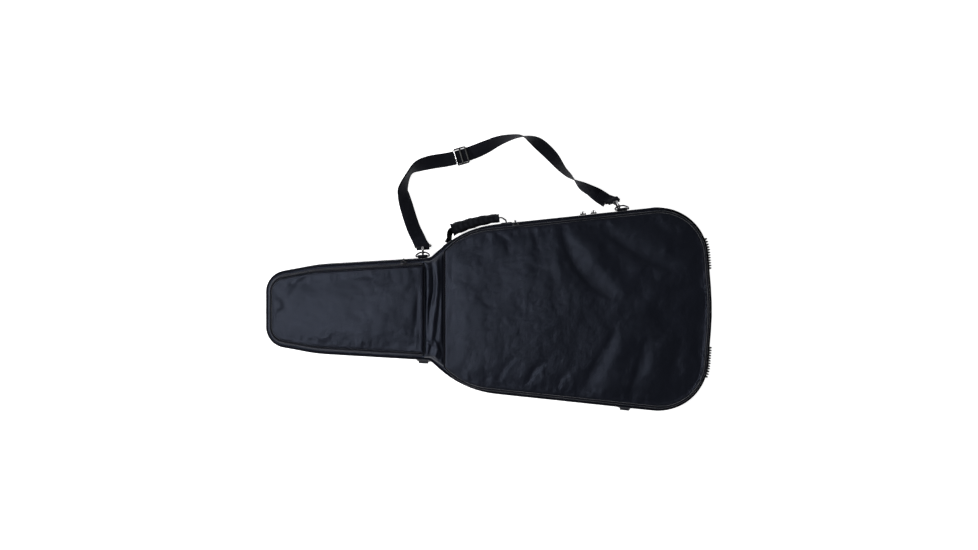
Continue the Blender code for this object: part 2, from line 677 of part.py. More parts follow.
def adjuster():
    """Three-bar slider that bridges the webbing: bars above it and rails beside it."""
    metal = own("strap_adjuster", BLACK_PLASTIC, 0.5)
    bar_low = 2 * STRAP_PLY + 3 * GAP
    bar_high = bar_low + 0.0030
    parts = []
    for out in (-1, 1):
        rail = out * (adjuster_half - ADJUSTER_RAIL / 2)
        parts.append(box("rail", (-ADJUSTER_LENGTH / 2, rail - ADJUSTER_RAIL / 2, 0.0010),
                         (ADJUSTER_LENGTH / 2, rail + ADJUSTER_RAIL / 2, bar_high), metal, adjuster_place))
    reach = ADJUSTER_LENGTH / 2 - 0.0025
    for middle in (-reach, 0.0, reach):
        parts.append(box("bar", (middle - 0.0022, -adjuster_half + 0.001, bar_low),
                         (middle + 0.0022, adjuster_half - 0.001, bar_high - 0.0004), metal, adjuster_place))
    parts[0].name = "strap_adjuster"
    weld(parts[0], *parts[1:])


adjuster()

# ---- Carry handle ---------------------------------------------------------------------------------
HANDLE_HEIGHT = 0.034
HANDLE_LEFT = -0.094
HANDLE_RIGHT = 0.040
ANCHOR_WIDTH = 0.026
ANCHOR_PLY = 0.0018
ANCHOR_STAND_OFF = 0.0016
HANDLE_ROUTE = [(-0.0912, 0.1592), (-0.0900, 0.1720), (-0.0845, 0.1800), (-0.0698, 0.1855), (-0.0518, 0.1915),
                (-0.0338, 0.1968), (-0.0158, 0.2013), (0.0023, 0.2045), (0.0200, 0.2068), (0.0290, 0.2078),
                (0.0385, 0.2020)]
WRAP_FIRST, WRAP_LAST = 2, 9
WRAP_HALF_HEIGHT = 0.0150
WRAP_HALF_START, WRAP_HALF_END = 0.0120, 0.0090


def handle():
    """Webbing bow between two anchors, with a padded grip round its middle."""
    route = [Vector(p) for p in HANDLE_ROUTE]
    ply = thick_line([tuple(p) for p in route], HANDLE_WEB_PLY)
    half = HANDLE_WEB_WIDTH / 2
    rows = [level([Vector(p) for p in ply], HANDLE_HEIGHT + lift) for lift in (-half, half)]
    web = loft("handle_webbing", rows, own("handle_webbing", WEBBING))

    outer, inner = [], []
    for i in range(WRAP_FIRST, WRAP_LAST + 1):
        along = (route[i + 1] - route[i - 1]).normalized()
        across = Vector((-along.y, along.x))
        share = (i - WRAP_FIRST) / (WRAP_LAST - WRAP_FIRST)
        half_width = WRAP_HALF_START + share * (WRAP_HALF_END - WRAP_HALF_START)
        for rows, reach, rise in ((outer, half_width, WRAP_HALF_HEIGHT),
                                  (inner, HANDLE_WEB_PLY / 2 + GAP * 1.5, half + GAP * 1.5)):
            row = []
            for k in range(12):
                angle = math.radians(30 * k + 15)
                a, b = math.cos(angle), math.sin(angle)
                if rows is inner:
                    a, b = math.copysign(min(1.0, abs(a) * 3), a), math.copysign(min(1.0, abs(b) * 1.3), b)
                spot = route[i] + across * (reach * a)
                row.append((spot.x, spot.y, HANDLE_HEIGHT + rise * b))
            rows.append(row)
    hoop("handle_grip", outer + inner[::-1], own("handle_grip", WEBBING), smooth=True)

    set_pivot(web, (*route[0], HANDLE_HEIGHT))
    hang(web, "handle_grip")
    for name, x in (("handle_anchor_neck", HANDLE_LEFT), ("handle_anchor_body", HANDLE_RIGHT)):
        box(name, (-ANCHOR_WIDTH / 2, ANCHOR_STAND_OFF, -0.012),
            (ANCHOR_WIDTH / 2, ANCHOR_STAND_OFF + ANCHOR_PLY, 0.008), own(name, WEBBING),
            on_wall(x, 1, HANDLE_HEIGHT))


# ---- Skid bumpers on the body end -----------------------------------------------------------------
BUMPER_MIDDLES = (("bumper_near", 0.124), ("bumper_far", -0.119))
BUMPER_FLOOR = 0.006
BUMPER_SEAT = 0.0006


def bumper(name, middle):
    """Ribbed rubber guard that follows the end wall; its ribs run up and down."""
    outline = case_outline(0.0)
    line = []
    for k in range(BUMPER_RIBS * 4 + 1):
        y = middle + BUMPER_LENGTH * (k / (BUMPER_RIBS * 4) - 0.5)
        for i, first in enumerate(outline):
            second = outline[(i + 1) % len(outline)]
            if first.x > 0.3 and (first.y - y) * (second.y - y) <= 0 and first.y != second.y:
                spot = first.lerp(second, (y - first.y) / (second.y - first.y))
                line.append((spot, -inward(first, second)))
                break
    rows = []
    for z in three_levels(BUMPER_FLOOR, BUMPER_TOP):
        inner = [spot + normal * (BUMPER_SEAT - wall_inset(z)) for spot, normal in line]
        outer = []
        for k, (spot, normal) in enumerate(line):
            rib = 1.0 if k % 4 in (1, 2) else 0.55
            outer.append(spot + normal * (BUMPER_SEAT + BUMPER_DEPTH * rib - wall_inset(z)))
        rows.append(level(inner + outer[::-1], z))
    loft(name, rows, own(name, RUBBER, 0.7))


for name, middle in BUMPER_MIDDLES:
    bumper(name, middle)

# ---- Retaining straps inside ----------------------------------------------------------------------
RETAINER_WIDTH = 0.050
RETAINER_PLY = 0.0020
retainer_low = lining_floor + LINING + GAP
for name, x, half_reach in (("retaining_strap_body", 0.160, SHOULDER_HALF - 0.040),
                            ("retaining_strap_neck", -0.300, NECK_MID_HALF - 0.035)):
    box(name, (x - RETAINER_WIDTH / 2, -half_reach, retainer_low),
        (x + RETAINER_WIDTH / 2, half_reach, retainer_low + RETAINER_PLY), own(name, WEBBING))

# ---- Zip sliders and their pulls ------------------------------------------------------------------
BAIL = 0.0018
SLIDER_STAND_OFF = 0.0014
POCKET_FOLD_STAND_OFF = 0.0007


def slider(name, place, channel_half, channel_depth):
    """Slider that straddles the teeth, with a bail for its pull. Its origin is on the wall at the zip."""
    metal = own(name, BLACK_METAL, 0.35, 1.0)
    face = 0.0010
    lip = 0.0016
    profile = [(face - channel_depth, channel_half), (face, channel_half), (face, -channel_half),
               (face - channel_depth, -channel_half), (face - channel_depth, -channel_half - lip),
               (face + 0.0022, -channel_half - lip), (face + 0.0022, channel_half + lip),
               (face - channel_depth, channel_half + lip)]
    shell = prism(name, profile, SLIDER_LENGTH, metal, place)
    stand = face + 0.0018
    half = SLIDER_LENGTH / 2 - 0.0015
    arm_low = stand + 0.0030
    arm_high = arm_low + BAIL
    bail = [(-half, stand), (-half, arm_high), (half, arm_high), (half, stand), (half - BAIL, stand),
            (half - BAIL, arm_low), (-half + BAIL, arm_low), (-half + BAIL, stand)]
    rows = [[(along, out, up) for along, out in bail] for up in (-BAIL / 2, BAIL / 2)]
    weld(shell, loft(name + "_bail", rows, metal, place))
    set_pivot(shell, place.translation)
    return place @ Matrix.Translation((0.0, (arm_low + arm_high) / 2, 0.0))


def pull(name, bar, length, tilt=0.0):
    """Pull tab that hangs from the slider's bail; tilt is how far what lies under it holds it out."""
    bar = bar @ Matrix.Rotation(math.radians(tilt), 4, "X")
    reach = 0.0013 + 0.0004 + 0.0006
    line = [(reach * 0.9, 0.0012)] + arc((0.0, 0.0), reach, 60, 265, 7) + [(0.0006, -reach - 0.004),
                                                                        (0.0006, -length)]
    thing = prism(name, thick_line(line, 0.0012), PULL_WIDTH, own(name, BLACK_METAL, 0.35, 1.0), bar)
    set_pivot(thing, bar.translation)


for label, x in (("a", 0.214), ("b", 0.238)):
    place = on_wall(x, 1, ZIP_HEIGHT, SLIDER_STAND_OFF)
    bail = slider("zip_slider_" + label, place, ZIP_BEAD_WIDTH + 3 * GAP, 0.0026)
    pull("zip_pull_" + label, bail, PULL_LENGTH)


def on_pocket(corners, end_edge, panel_inset, x, side, height, out):
    """Frame at a place on a pocket's side, at the seam where it opens."""
    foot = front_high + GAP
    share = (POCKET_SEAM - foot) / (POCKET_HEIGHT - foot)
    inset = POCKET_FOOT_INSET + (panel_inset - POCKET_FOOT_INSET) * share
    return outline_frame(pocket_outline(corners, inset, 0.0, end_edge), x, side, height, out)


POCKETS = (("body", BODY_POCKET, 3, BODY_PANEL_INSET, 0.060, 0.200),
           ("neck", NECK_POCKET, 5, NECK_PANEL_INSET, -0.190, -0.260))
for label, corners, end_edge, panel_inset, slider_x, fold_x in POCKETS:
    place = on_pocket(corners, end_edge, panel_inset, slider_x, 1, POCKET_SEAM + GAP, SLIDER_STAND_OFF)
    bail = slider(label + "_pocket_slider", place, 0.0024, 0.0004)
    pull(label + "_pocket_pull", bail, POCKET_PULL_LENGTH, POCKET_PULL_TILT)


# ---- Assembly: pieces that move together hang on one pivot ----------------------------------------
def hang(parent, *names):
    """Parent pieces to a pivot without moving them."""
    bpy.context.view_layer.update()
    for name in names:
        child = bpy.data.objects[name]
        child.parent = parent
        child.matrix_parent_inverse = parent.matrix_world.inverted()


def pivot(name, place):
    """Empty on a joint's axis; its X axis is the axis."""
    empty = bpy.data.objects.new(name, None)
    empty.empty_display_size = 0.02
    empty.matrix_world = place
    bpy.context.collection.objects.link(empty)
    return empty


lid_fold = pivot("lid_fold", on_wall(0.5 * (FOLD_START + FOLD_END), -1, ZIP_HEIGHT, FOLD_STAND_OFF))
hang(lid_fold, "zip_tape_lid", "fold_web_lid", "lid_gusset", "lid_gusset_foam", "lid_lining", "front_panel",
     "front_foam", "front_piping", "neck_join_band", "body_pocket_gusset", "neck_pocket_gusset",
     "body_pocket_slider", "neck_pocket_slider")
for label, corners, end_edge, panel_inset, slider_x, fold_x in POCKETS:
    place = on_pocket(corners, end_edge, panel_inset, fold_x, -1, POCKET_SEAM + GAP, POCKET_FOLD_STAND_OFF)
    fold = pivot(label + "_pocket_fold", place)
    hang(fold, label + "_pocket_rim", label + "_pocket_panel", label + "_pocket_piping")
    hang(lid_fold, fold.name)
    hang(bpy.data.objects[label + "_pocket_slider"], label + "_pocket_pull")
for label in ("neck", "body"):
    hang(bpy.data.objects["ring_" + label + "_strap"], "hook_" + label, "hook_gate_" + label, "strap_eye_" + label)
for label in ("a", "b"):
    hang(bpy.data.objects["zip_slider_" + label], "zip_pull_" + label)
handle()
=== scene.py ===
"""Looks of the soft telescope carry case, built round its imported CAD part. All sizes are in metres."""
import math

import bmesh
import bpy
import numpy as np
from mathutils import Matrix, Vector, noise
from mathutils.geometry import delaunay_2d_cdt


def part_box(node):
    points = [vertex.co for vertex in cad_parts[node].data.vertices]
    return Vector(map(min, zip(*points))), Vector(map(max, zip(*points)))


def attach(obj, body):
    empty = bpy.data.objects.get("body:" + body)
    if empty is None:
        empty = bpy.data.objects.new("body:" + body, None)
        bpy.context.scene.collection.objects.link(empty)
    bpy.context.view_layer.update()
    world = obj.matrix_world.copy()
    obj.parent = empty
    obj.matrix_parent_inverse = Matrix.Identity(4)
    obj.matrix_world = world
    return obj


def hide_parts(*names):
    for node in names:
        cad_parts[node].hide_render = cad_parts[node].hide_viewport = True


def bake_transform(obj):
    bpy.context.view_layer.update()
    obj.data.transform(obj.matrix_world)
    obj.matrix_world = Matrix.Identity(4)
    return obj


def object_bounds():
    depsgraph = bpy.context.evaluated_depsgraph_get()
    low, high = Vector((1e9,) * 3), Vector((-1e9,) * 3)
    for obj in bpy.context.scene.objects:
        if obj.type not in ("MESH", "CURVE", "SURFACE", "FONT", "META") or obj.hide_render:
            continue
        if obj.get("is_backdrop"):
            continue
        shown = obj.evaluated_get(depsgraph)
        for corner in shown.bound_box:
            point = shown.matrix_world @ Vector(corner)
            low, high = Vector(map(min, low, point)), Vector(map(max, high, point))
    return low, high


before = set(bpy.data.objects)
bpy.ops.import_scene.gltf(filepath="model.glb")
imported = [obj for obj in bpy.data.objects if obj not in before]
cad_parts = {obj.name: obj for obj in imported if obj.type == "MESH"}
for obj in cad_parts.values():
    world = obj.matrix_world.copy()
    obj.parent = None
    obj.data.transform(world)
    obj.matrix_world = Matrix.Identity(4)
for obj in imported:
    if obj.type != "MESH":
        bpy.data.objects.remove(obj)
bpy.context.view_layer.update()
for stray in ("Cube", "Light", "Camera"):
    if stray in bpy.data.objects:
        bpy.data.objects.remove(bpy.data.objects[stray])

# ---- Camera, lights and floor ---------------------------------------------------------------------
scene = bpy.context.scene
scene.view_settings.view_transform = "Standard"
camera = bpy.data.objects.new("camera", bpy.data.cameras.new("camera"))
camera.data.lens = 39.6
camera.location = (0.0, 0.0765, 2.5)
scene.collection.objects.link(camera)
scene.camera = camera


def lamp(name, place, target, size, power):
    """Soft square white light that looks at a point."""
    data = bpy.data.lights.new(name, "AREA")
    data.size, data.energy = size, power
    thing = bpy.data.objects.new(name, data)
    thing.location = place
    thing.rotation_euler = (Vector(target) - Vector(place)).to_track_quat("-Z", "Y").to_euler()
    scene.collection.objects.link(thing)


lamp("key", (-1.70, -0.10, 2.15), (-0.4, 0.0, 0.0), 0.6, 52)
lamp("low", (-3.2, 0.6, 0.7), (0.0, 0.0, 0.1), 1.2, 26)
lamp("fill", (1.6, 2.8, 2.0), (0.0, 0.0, 0.0), 2.4, 10)
lamp("right", (3.2, -1.6, 2.2), (0.0, 0.0, 0.0), 2.4, 5)
world = bpy.data.worlds.new("studio")
world.use_nodes = True
sky = world.node_tree.nodes["Background"].inputs
sky["Color"].default_value, sky["Strength"].default_value = (1.0, 1.0, 1.0, 1.0), 0.09
scene.world = world


# ---- Materials ------------------------------------------------------------------------------------
class Nodes:
    """A material under construction."""

    def __init__(self, name, **constants):
        self.material = bpy.data.materials.new(name)
        self.material.use_nodes = True
        self.tree = self.material.node_tree
        self.shader = self.tree.nodes["Principled BSDF"]
        self.set(self.shader, {k.replace("_", " "): v for k, v in constants.items()})

    def set(self, node, values):
        for key, value in values.items():
            socket = node.inputs[key]
            if isinstance(value, bpy.types.NodeSocket):
                self.tree.links.new(value, socket)
            else:
                socket.default_value = value

    def add(self, kind, values=None, **properties):
        node = self.tree.nodes.new("ShaderNode" + kind)
        for key, value in properties.items():
            setattr(node, key, value)
        self.set(node, values or {})
        return node

    def math(self, operation, *values):
        node = self.add("Math", operation=operation)
        self.set(node, dict(enumerate(values)))
        return node.outputs[0]

    def noise(self, scale, detail=3.0, vector=None, roughness=0.5):
        values = {"Scale": scale, "Detail": detail, "Roughness": roughness}
        values["Vector"] = vector or self.add("TexCoord").outputs["Object"]
        return self.add("TexNoise", values).outputs["Fac"]

    def spread(self, value, low, high):
        """Map 0.3 to 0.7 of a noise onto a range."""
        limits = {"From Min": 0.3, "From Max": 0.7, "To Min": low, "To Max": high}
        return self.add("MapRange", {"Value": value, **limits}).outputs["Result"]

    def tint(self, dark, light, share):
        """Colour between two, by a share from 0 to 1."""
        node = self.add("Mix", data_type="RGBA")
        self.tree.links.new(share, node.inputs["Factor"])
        node.inputs["A"].default_value = (*dark, 1.0)
        node.inputs["B"].default_value = (*light, 1.0)
        return node.outputs["Result"]

    def bump(self, height, distance, strength=1.0, normal=None):
        values = {"Height": height, "Distance": distance, "Strength": strength}
        if normal is not None:
            values["Normal"] = normal
        return self.add("Bump", values).outputs["Normal"]

    def finish(self, **links):
        self.set(self.shader, {k.replace("_", " "): v for k, v in links.items()})
        return self.material


COOL = (0.66, 0.75, 1.0, 1.0)  # tint of the fabric's highlights


def cloth(name, dark, light, pitch, roughness=0.5, crinkle=0.0009, sheen=0.02, rib=0.0, depth=0.00012,
          shine=0.12):
    """Woven fabric: threads at a pitch, fine creases, slow colour changes. rib adds lengthwise ribs."""
    m = Nodes(name, Sheen_Weight=sheen, Sheen_Roughness=0.45, Sheen_Tint=COOL, Specular_IOR_Level=shine,
              Specular_Tint=COOL)
    uv = m.add("SeparateXYZ", {"Vector": m.add("UVMap").outputs["UV"]})
    turn = 2 * math.pi / pitch
    across = m.math("SINE", m.math("MULTIPLY", uv.outputs["X"], turn))
    along = m.math("SINE", m.math("MULTIPLY", uv.outputs["Y"], turn))
    weave = m.math("MULTIPLY", across, along)
    if rib:
        ribs = m.math("SINE", m.math("MULTIPLY", uv.outputs["Y"], 2 * math.pi / rib))
        weave = m.math("ADD", m.math("MULTIPLY", weave, 0.5), ribs)
    slow = m.noise(7.0, 3.0)
    fine = m.noise(60.0, 6.0, roughness=0.62)
    share = m.math("ADD", m.math("MULTIPLY", m.spread(slow, 0.0, 1.0), 0.7), m.math("MULTIPLY", weave, 0.12))
    # The fine crease noise also lightens the colour where the creases rise and darkens it in their valleys: painted
    # crease shade.
    share = m.math("ADD", share, m.math("MULTIPLY", m.spread(fine, 0.0, 1.0), 0.12))
    creased = m.bump(fine, crinkle)
    woven = m.bump(weave, depth, 0.6, creased)
    rough = m.spread(m.noise(18.0, 4.0), roughness - 0.06, roughness + 0.07)
    return m.finish(Base_Color=m.tint(dark, light, share), Roughness=rough, Normal=woven)


def solid(name, dark, light, roughness, metallic=0.0, bump=0.00006):
    """Metal, plastic or rubber with fine grain and worn patches."""
    m = Nodes(name, Metallic=metallic)
    fine = m.noise(160.0, 4.0)
    worn = m.noise(45.0, 5.0, roughness=0.65)
    return m.finish(Base_Color=m.tint(dark, light, m.spread(worn, 0.0, 1.0)),
                    Roughness=m.spread(fine, roughness - 0.08, roughness + 0.1), Normal=m.bump(fine, bump))


NYLON = cloth("nylon", (0.0028, 0.0033, 0.0062), (0.0060, 0.0069, 0.0120), 0.0011, 0.37, shine=0.36)
DARK_NYLON = cloth("dark_nylon", (0.0040, 0.0043, 0.0065), (0.0085, 0.0090, 0.0130), 0.0011, 0.5)
PIPING = cloth("piping_cover", (0.0050, 0.0054, 0.0080), (0.0110, 0.0115, 0.0160), 0.0008, 0.42,
               crinkle=0.0003)
WEBBING = cloth("webbing", (0.0030, 0.0030, 0.0044), (0.0080, 0.0080, 0.0110), 0.0016, 0.62, crinkle=0.0002,
                rib=0.0028, depth=0.0003)
GRIP = cloth("grip_cover", (0.0035, 0.0036, 0.0045), (0.0090, 0.0092, 0.0110), 0.0013, 0.6, crinkle=0.0008)
LINING = cloth("lining", (0.035, 0.036, 0.040), (0.060, 0.061, 0.066), 0.0014, 0.85, crinkle=0.0006,
               sheen=0.2)
TAPE = cloth("zip_tape", (0.0040, 0.0040, 0.0050), (0.0080, 0.0080, 0.0095), 0.0009, 0.7, crinkle=0.0001)
THREAD = cloth("thread", (0.010, 0.010, 0.013), (0.020, 0.020, 0.025), 0.0007, 0.6, crinkle=0.0001)
STEEL = solid("steel", (0.52, 0.52, 0.54), (0.78, 0.78, 0.80), 0.24, 1.0)
DARK_STEEL = solid("dark_steel", (0.030, 0.030, 0.033), (0.16, 0.16, 0.17), 0.25, 1.0)
BLACK_METAL = solid("black_metal", (0.018, 0.018, 0.020), (0.06, 0.06, 0.064), 0.36, 0.85)
BLACK_PLASTIC = solid("black_plastic", (0.006, 0.006, 0.007), (0.013, 0.013, 0.014), 0.42)
RUBBER = solid("rubber", (0.0035, 0.0035, 0.004), (0.009, 0.009, 0.010), 0.72, bump=0.00015)

floor_nodes = Nodes("floor", Roughness=0.9, Specular_IOR_Level=0.1, Emission_Color=(1.0, 1.0, 1.0, 1.0),
                    Emission_Strength=0.92)
floor_shade = floor_nodes.spread(floor_nodes.noise(1.2), 0, 1)
FLOOR = floor_nodes.finish(Base_Color=floor_nodes.tint((0.86, 0.86, 0.87), (0.92, 0.92, 0.92), floor_shade))


# ---- Lines and frames -----------------------------------------------------------------------------
UP = np.array((0.0, 0.0, 1.0))


def unit(vectors):
    """The same directions at a length of one."""
    vectors = np.asarray(vectors, float)
    return vectors / np.linalg.norm(vectors, axis=-1, keepdims=True)


def run(line, closed=False):
    """Distance along a line at each of its points, and back at the first one if it is closed."""
    line = np.asarray(line, float)
    if closed:
        line = np.concatenate([line, line[:1]])
    return np.concatenate([[0], np.cumsum(np.linalg.norm(np.diff(line, axis=0), axis=1))])


def sample(line, spots):
    """Points at distances along a line."""
    along = run(line)
    return np.column_stack([np.interp(spots, along, column) for column in np.asarray(line, float).T])


def place_of(*rows):
    return Matrix((*rows, (0.0, 0.0, 0.0, 1.0)))


def at(place, points):
    return np.array([place @ Vector(p) for p in points])


def facing(point, heading):
    """Frame at a point: x along a level heading, y to its right and z up."""
    return place_of((heading[0], heading[1], 0, point[0]), (heading[1], -heading[0], 0, point[1]),
                    (0, 0, 1, point[2]))


def arc(centre, radius, start, end, steps):
    angles = np.radians(np.linspace(start, end, steps + 1))
    return [(centre[0] + radius * math.cos(a), centre[1] + radius * math.sin(a)) for a in angles]


def beside(outline, x, side, z, out=0.0):
    """Frame beside an outline at x, on its +Y (1) or -Y (-1) side: along the wall, outwards and up."""
    for a, b in zip(outline, np.roll(outline, -1, 0)):
        if min(a[1] * side, b[1] * side) > 0 and a[0] != b[0] and (a[0] - x) * (b[0] - x) <= 0:
            normal = unit((b[1] - a[1], a[0] - b[0]))
            spot = a + (b - a) * (x - a[0]) / (b[0] - a[0]) + normal * out
            return place_of((normal[1], normal[0], 0.0, spot[0]), (-normal[0], normal[1], 0.0, spot[1]),
                            (0.0, 0.0, 1.0, z))
    raise ValueError("the outline does not reach that place")


# ---- Outlines -------------------------------------------------------------------------------------
def rounded(corners, insets=None, arc_step=math.radians(15)):
    """Rounded closed outline of (x, y, radius) corners, each edge moved inwards by its own inset."""
    points = [Vector(corner[:2]) for corner in corners]
    count = len(points)
    insets = insets or [0.0] * count
    moved, turns, tangents = [], [], []
    for i, corner in enumerate(points):
        first, second = corner - points[i - 1], points[(i + 1) % count] - corner
        turn = math.atan2(first.x * second.y - first.y * second.x, first.dot(second))
        n0, n1 = Vector((-first.y, first.x)).normalized(), Vector((-second.y, second.x)).normalized()
        d0, d1 = insets[i - 1], insets[i]
        if abs(turn) < 1e-4:
            moved.append(corner + n1 * d1)
            tangents.append(0.0)
        else:
            cross = n0.x * n1.y - n0.y * n1.x
            moved.append(corner + Vector(((d0 * n1.y - d1 * n0.y) / cross, (d1 * n0.x - d0 * n1.x) / cross)))
            radius = max(0.001, corners[i][2] - math.copysign(0.5 * (d0 + d1), turn))
            tangents.append(radius * math.tan(abs(turn) / 2))
        turns.append(turn)
    outline = []
    for i, corner in enumerate(moved):
        if tangents[i] == 0.0:
            outline.append(corner)
            continue
        before = (corner - moved[i - 1]).length
        after = (moved[(i + 1) % count] - corner).length
        share = min(1.0, 0.98 * before / (tangents[i] + tangents[i - 1]),
                    0.98 * after / (tangents[i] + tangents[(i + 1) % count]))
        start = corner + (moved[i - 1] - corner).normalized() * tangents[i] * share
        radius = tangents[i] * share / math.tan(abs(turns[i]) / 2)
        toward = (corner - start).normalized()
        centre = start + Vector((-toward.y, toward.x)) * radius * math.copysign(1.0, turns[i])
        steps = max(1, math.ceil(abs(turns[i]) / arc_step))
        for step in range(steps + 1):
            outline.append(centre + Matrix.Rotation(turns[i] * step / steps, 2) @ (start - centre))
    return np.array(outline)


CASE_ARC_STEP = math.radians(4)


class Outline:
    """Closed outline with points a spacing apart, the same number of them at every inset."""

    def __init__(self, corners, spacing, end_edge=None):
        self.corners, self.end_edge = corners, end_edge
        lengths = np.diff(run(self.coarse(0.0), closed=True))
        self.pieces = [max(1, round(float(length) / spacing)) for length in lengths]

    def coarse(self, inset, end_inset=None):
        """The outline as it is rounded, before it is divided; the end edge may have its own inset."""
        insets = [inset] * len(self.corners)
        if self.end_edge is not None and end_inset is not None:
            insets[self.end_edge] = end_inset
        return rounded(self.corners, insets, CASE_ARC_STEP)

    def at(self, inset, end_inset=None):
        line = self.coarse(inset, end_inset)
        return np.concatenate([a + (b - a) * np.arange(count)[:, None] / count
                               for a, b, count in zip(line, np.roll(line, -1, 0), self.pieces)])

    def level(self, inset, z, end_inset=None):
        flat = self.at(inset, end_inset)
        return np.column_stack([flat, np.full(len(flat), z)])


def mirrored(corners):
    return [(x, -y, radius) for x, y, radius in reversed(corners)]


HALF_LENGTH = 0.5
NECK_TAPER_X, NECK_ROOT_X, SHOULDER_X, CORNER_X = -0.385, -0.1325, -0.057, 0.482
NECK_END_HALF, NECK_MID_HALF, NECK_ROOT_HALF, SHOULDER_HALF, BODY_HALF = 0.0794, 0.1005, 0.1153, 0.183, 0.240
FOLD_START, FOLD_END = 0.056, 0.344
ZIP, LID_TOP, SEAM, POCKET_TOP, FRONT = 0.055, 0.092, 0.1036, 0.1125, 0.0943
BACK_INSET, FRONT_INSET = 0.008, 0.005


STRAIGHTS = [(NECK_TAPER_X, NECK_MID_HALF), (NECK_ROOT_X, NECK_ROOT_HALF), (SHOULDER_X, SHOULDER_HALF),
             (CORNER_X, BODY_HALF)]


def half_at(x):
    """Half width of the case at x, before its corners are rounded."""
    return float(np.interp(x, *zip(*STRAIGHTS)))


BODY_CORNERS = [(CORNER_X, BODY_HALF, 0.113), (SHOULDER_X, SHOULDER_HALF, 0.225)]
NECK_CORNERS = [(NECK_TAPER_X, NECK_MID_HALF, 0.300), (-HALF_LENGTH, NECK_END_HALF, 0.048)]
BOW = (HALF_LENGTH + 0.0017, 0.0, 0.600)
NEAR_SIDE = BODY_CORNERS + [(NECK_ROOT_X, NECK_ROOT_HALF, 0.020)] + NECK_CORNERS
CASE_CORNERS = ([(FOLD_END, -half_at(FOLD_END), 0.0)] + mirrored(BODY_CORNERS)[1:] + [BOW] + NEAR_SIDE
                + mirrored(NEAR_SIDE)[:4] + [(FOLD_START, -half_at(FOLD_START), 0.0)])
BODY_START, NECK_STOP = -0.097, -0.146
POCKET_NEAR = [BODY_CORNERS[0], (SHOULDER_X, SHOULDER_HALF, 0.160), (BODY_START, half_at(BODY_START), 0.012)]
NECK_NEAR = [(NECK_STOP, half_at(NECK_STOP), 0.012)] + NECK_CORNERS
CASE = Outline(CASE_CORNERS, 0.004)
BODY_POCKET = Outline([BOW] + POCKET_NEAR + mirrored(POCKET_NEAR), 0.004, 3)
NECK_POCKET = Outline(NECK_NEAR + mirrored(NECK_NEAR), 0.004, 5)


def wall_inset(z):
    if z < ZIP:
        return BACK_INSET * (1 - max(z, 0.0) / ZIP) ** 2
    return FRONT_INSET * ((min(z, LID_TOP) - ZIP) / (LID_TOP - ZIP)) ** 2


# ---- Mesh building --------------------------------------------------------------------------------
def fractal(points, scale, octaves=3, offset=0.0):
    """Smooth noise of about -1 to 1 at each point; scale is one number or three."""
    grown = np.asarray(points) * np.asarray(scale) + offset
    return np.array([noise.fractal(Vector(p), 1.0, 2.0, octaves) for p in grown])


def smooth_step(values, low, high):
    t = np.clip((values - low) / (high - low), 0, 1)
    return t * t * (3 - 2 * t)


def ridge(points, line, width, height, skew=0.0):
    """Height of a soft fold along a line of (x, y) points; it fades out at both ends."""
    flat, line = np.asarray(points)[:, :2], np.array(line, float)
    starts = run(line)
    lengths = np.diff(starts)
    best, share, side = np.full(len(flat), 1e9), np.zeros(len(flat)), np.zeros(len(flat))
    for a, b, length, start in zip(line[:-1], line[1:], lengths, starts):
        d = (b - a) / length
        t = np.clip((flat - a) @ d, 0, length)
        off = flat - a - t[:, None] * d
        far = np.linalg.norm(off, axis=1)
        near = far < best
        best = np.where(near, far, best)
        share = np.where(near, (start + t) / starts[-1], share)
        side = np.where(near, np.sign(d[0] * off[:, 1] - d[1] * off[:, 0]), side)
    taper = np.sqrt(np.clip(4 * share * (1 - share), 0.0, 1.0))
    wide = width * (1 + skew * side)
    return height * np.exp(-(best / wide) ** 2) * taper


def edge_distance(points, ring):
    """Distance from each point to the nearest point of a ring."""
    flat, rim = np.asarray(points)[:, :2], np.asarray(ring)[:, :2]
    return np.concatenate([np.sqrt(((part[:, None] - rim[None]) ** 2).sum(2)).min(1)
                           for part in np.array_split(flat, 40)])


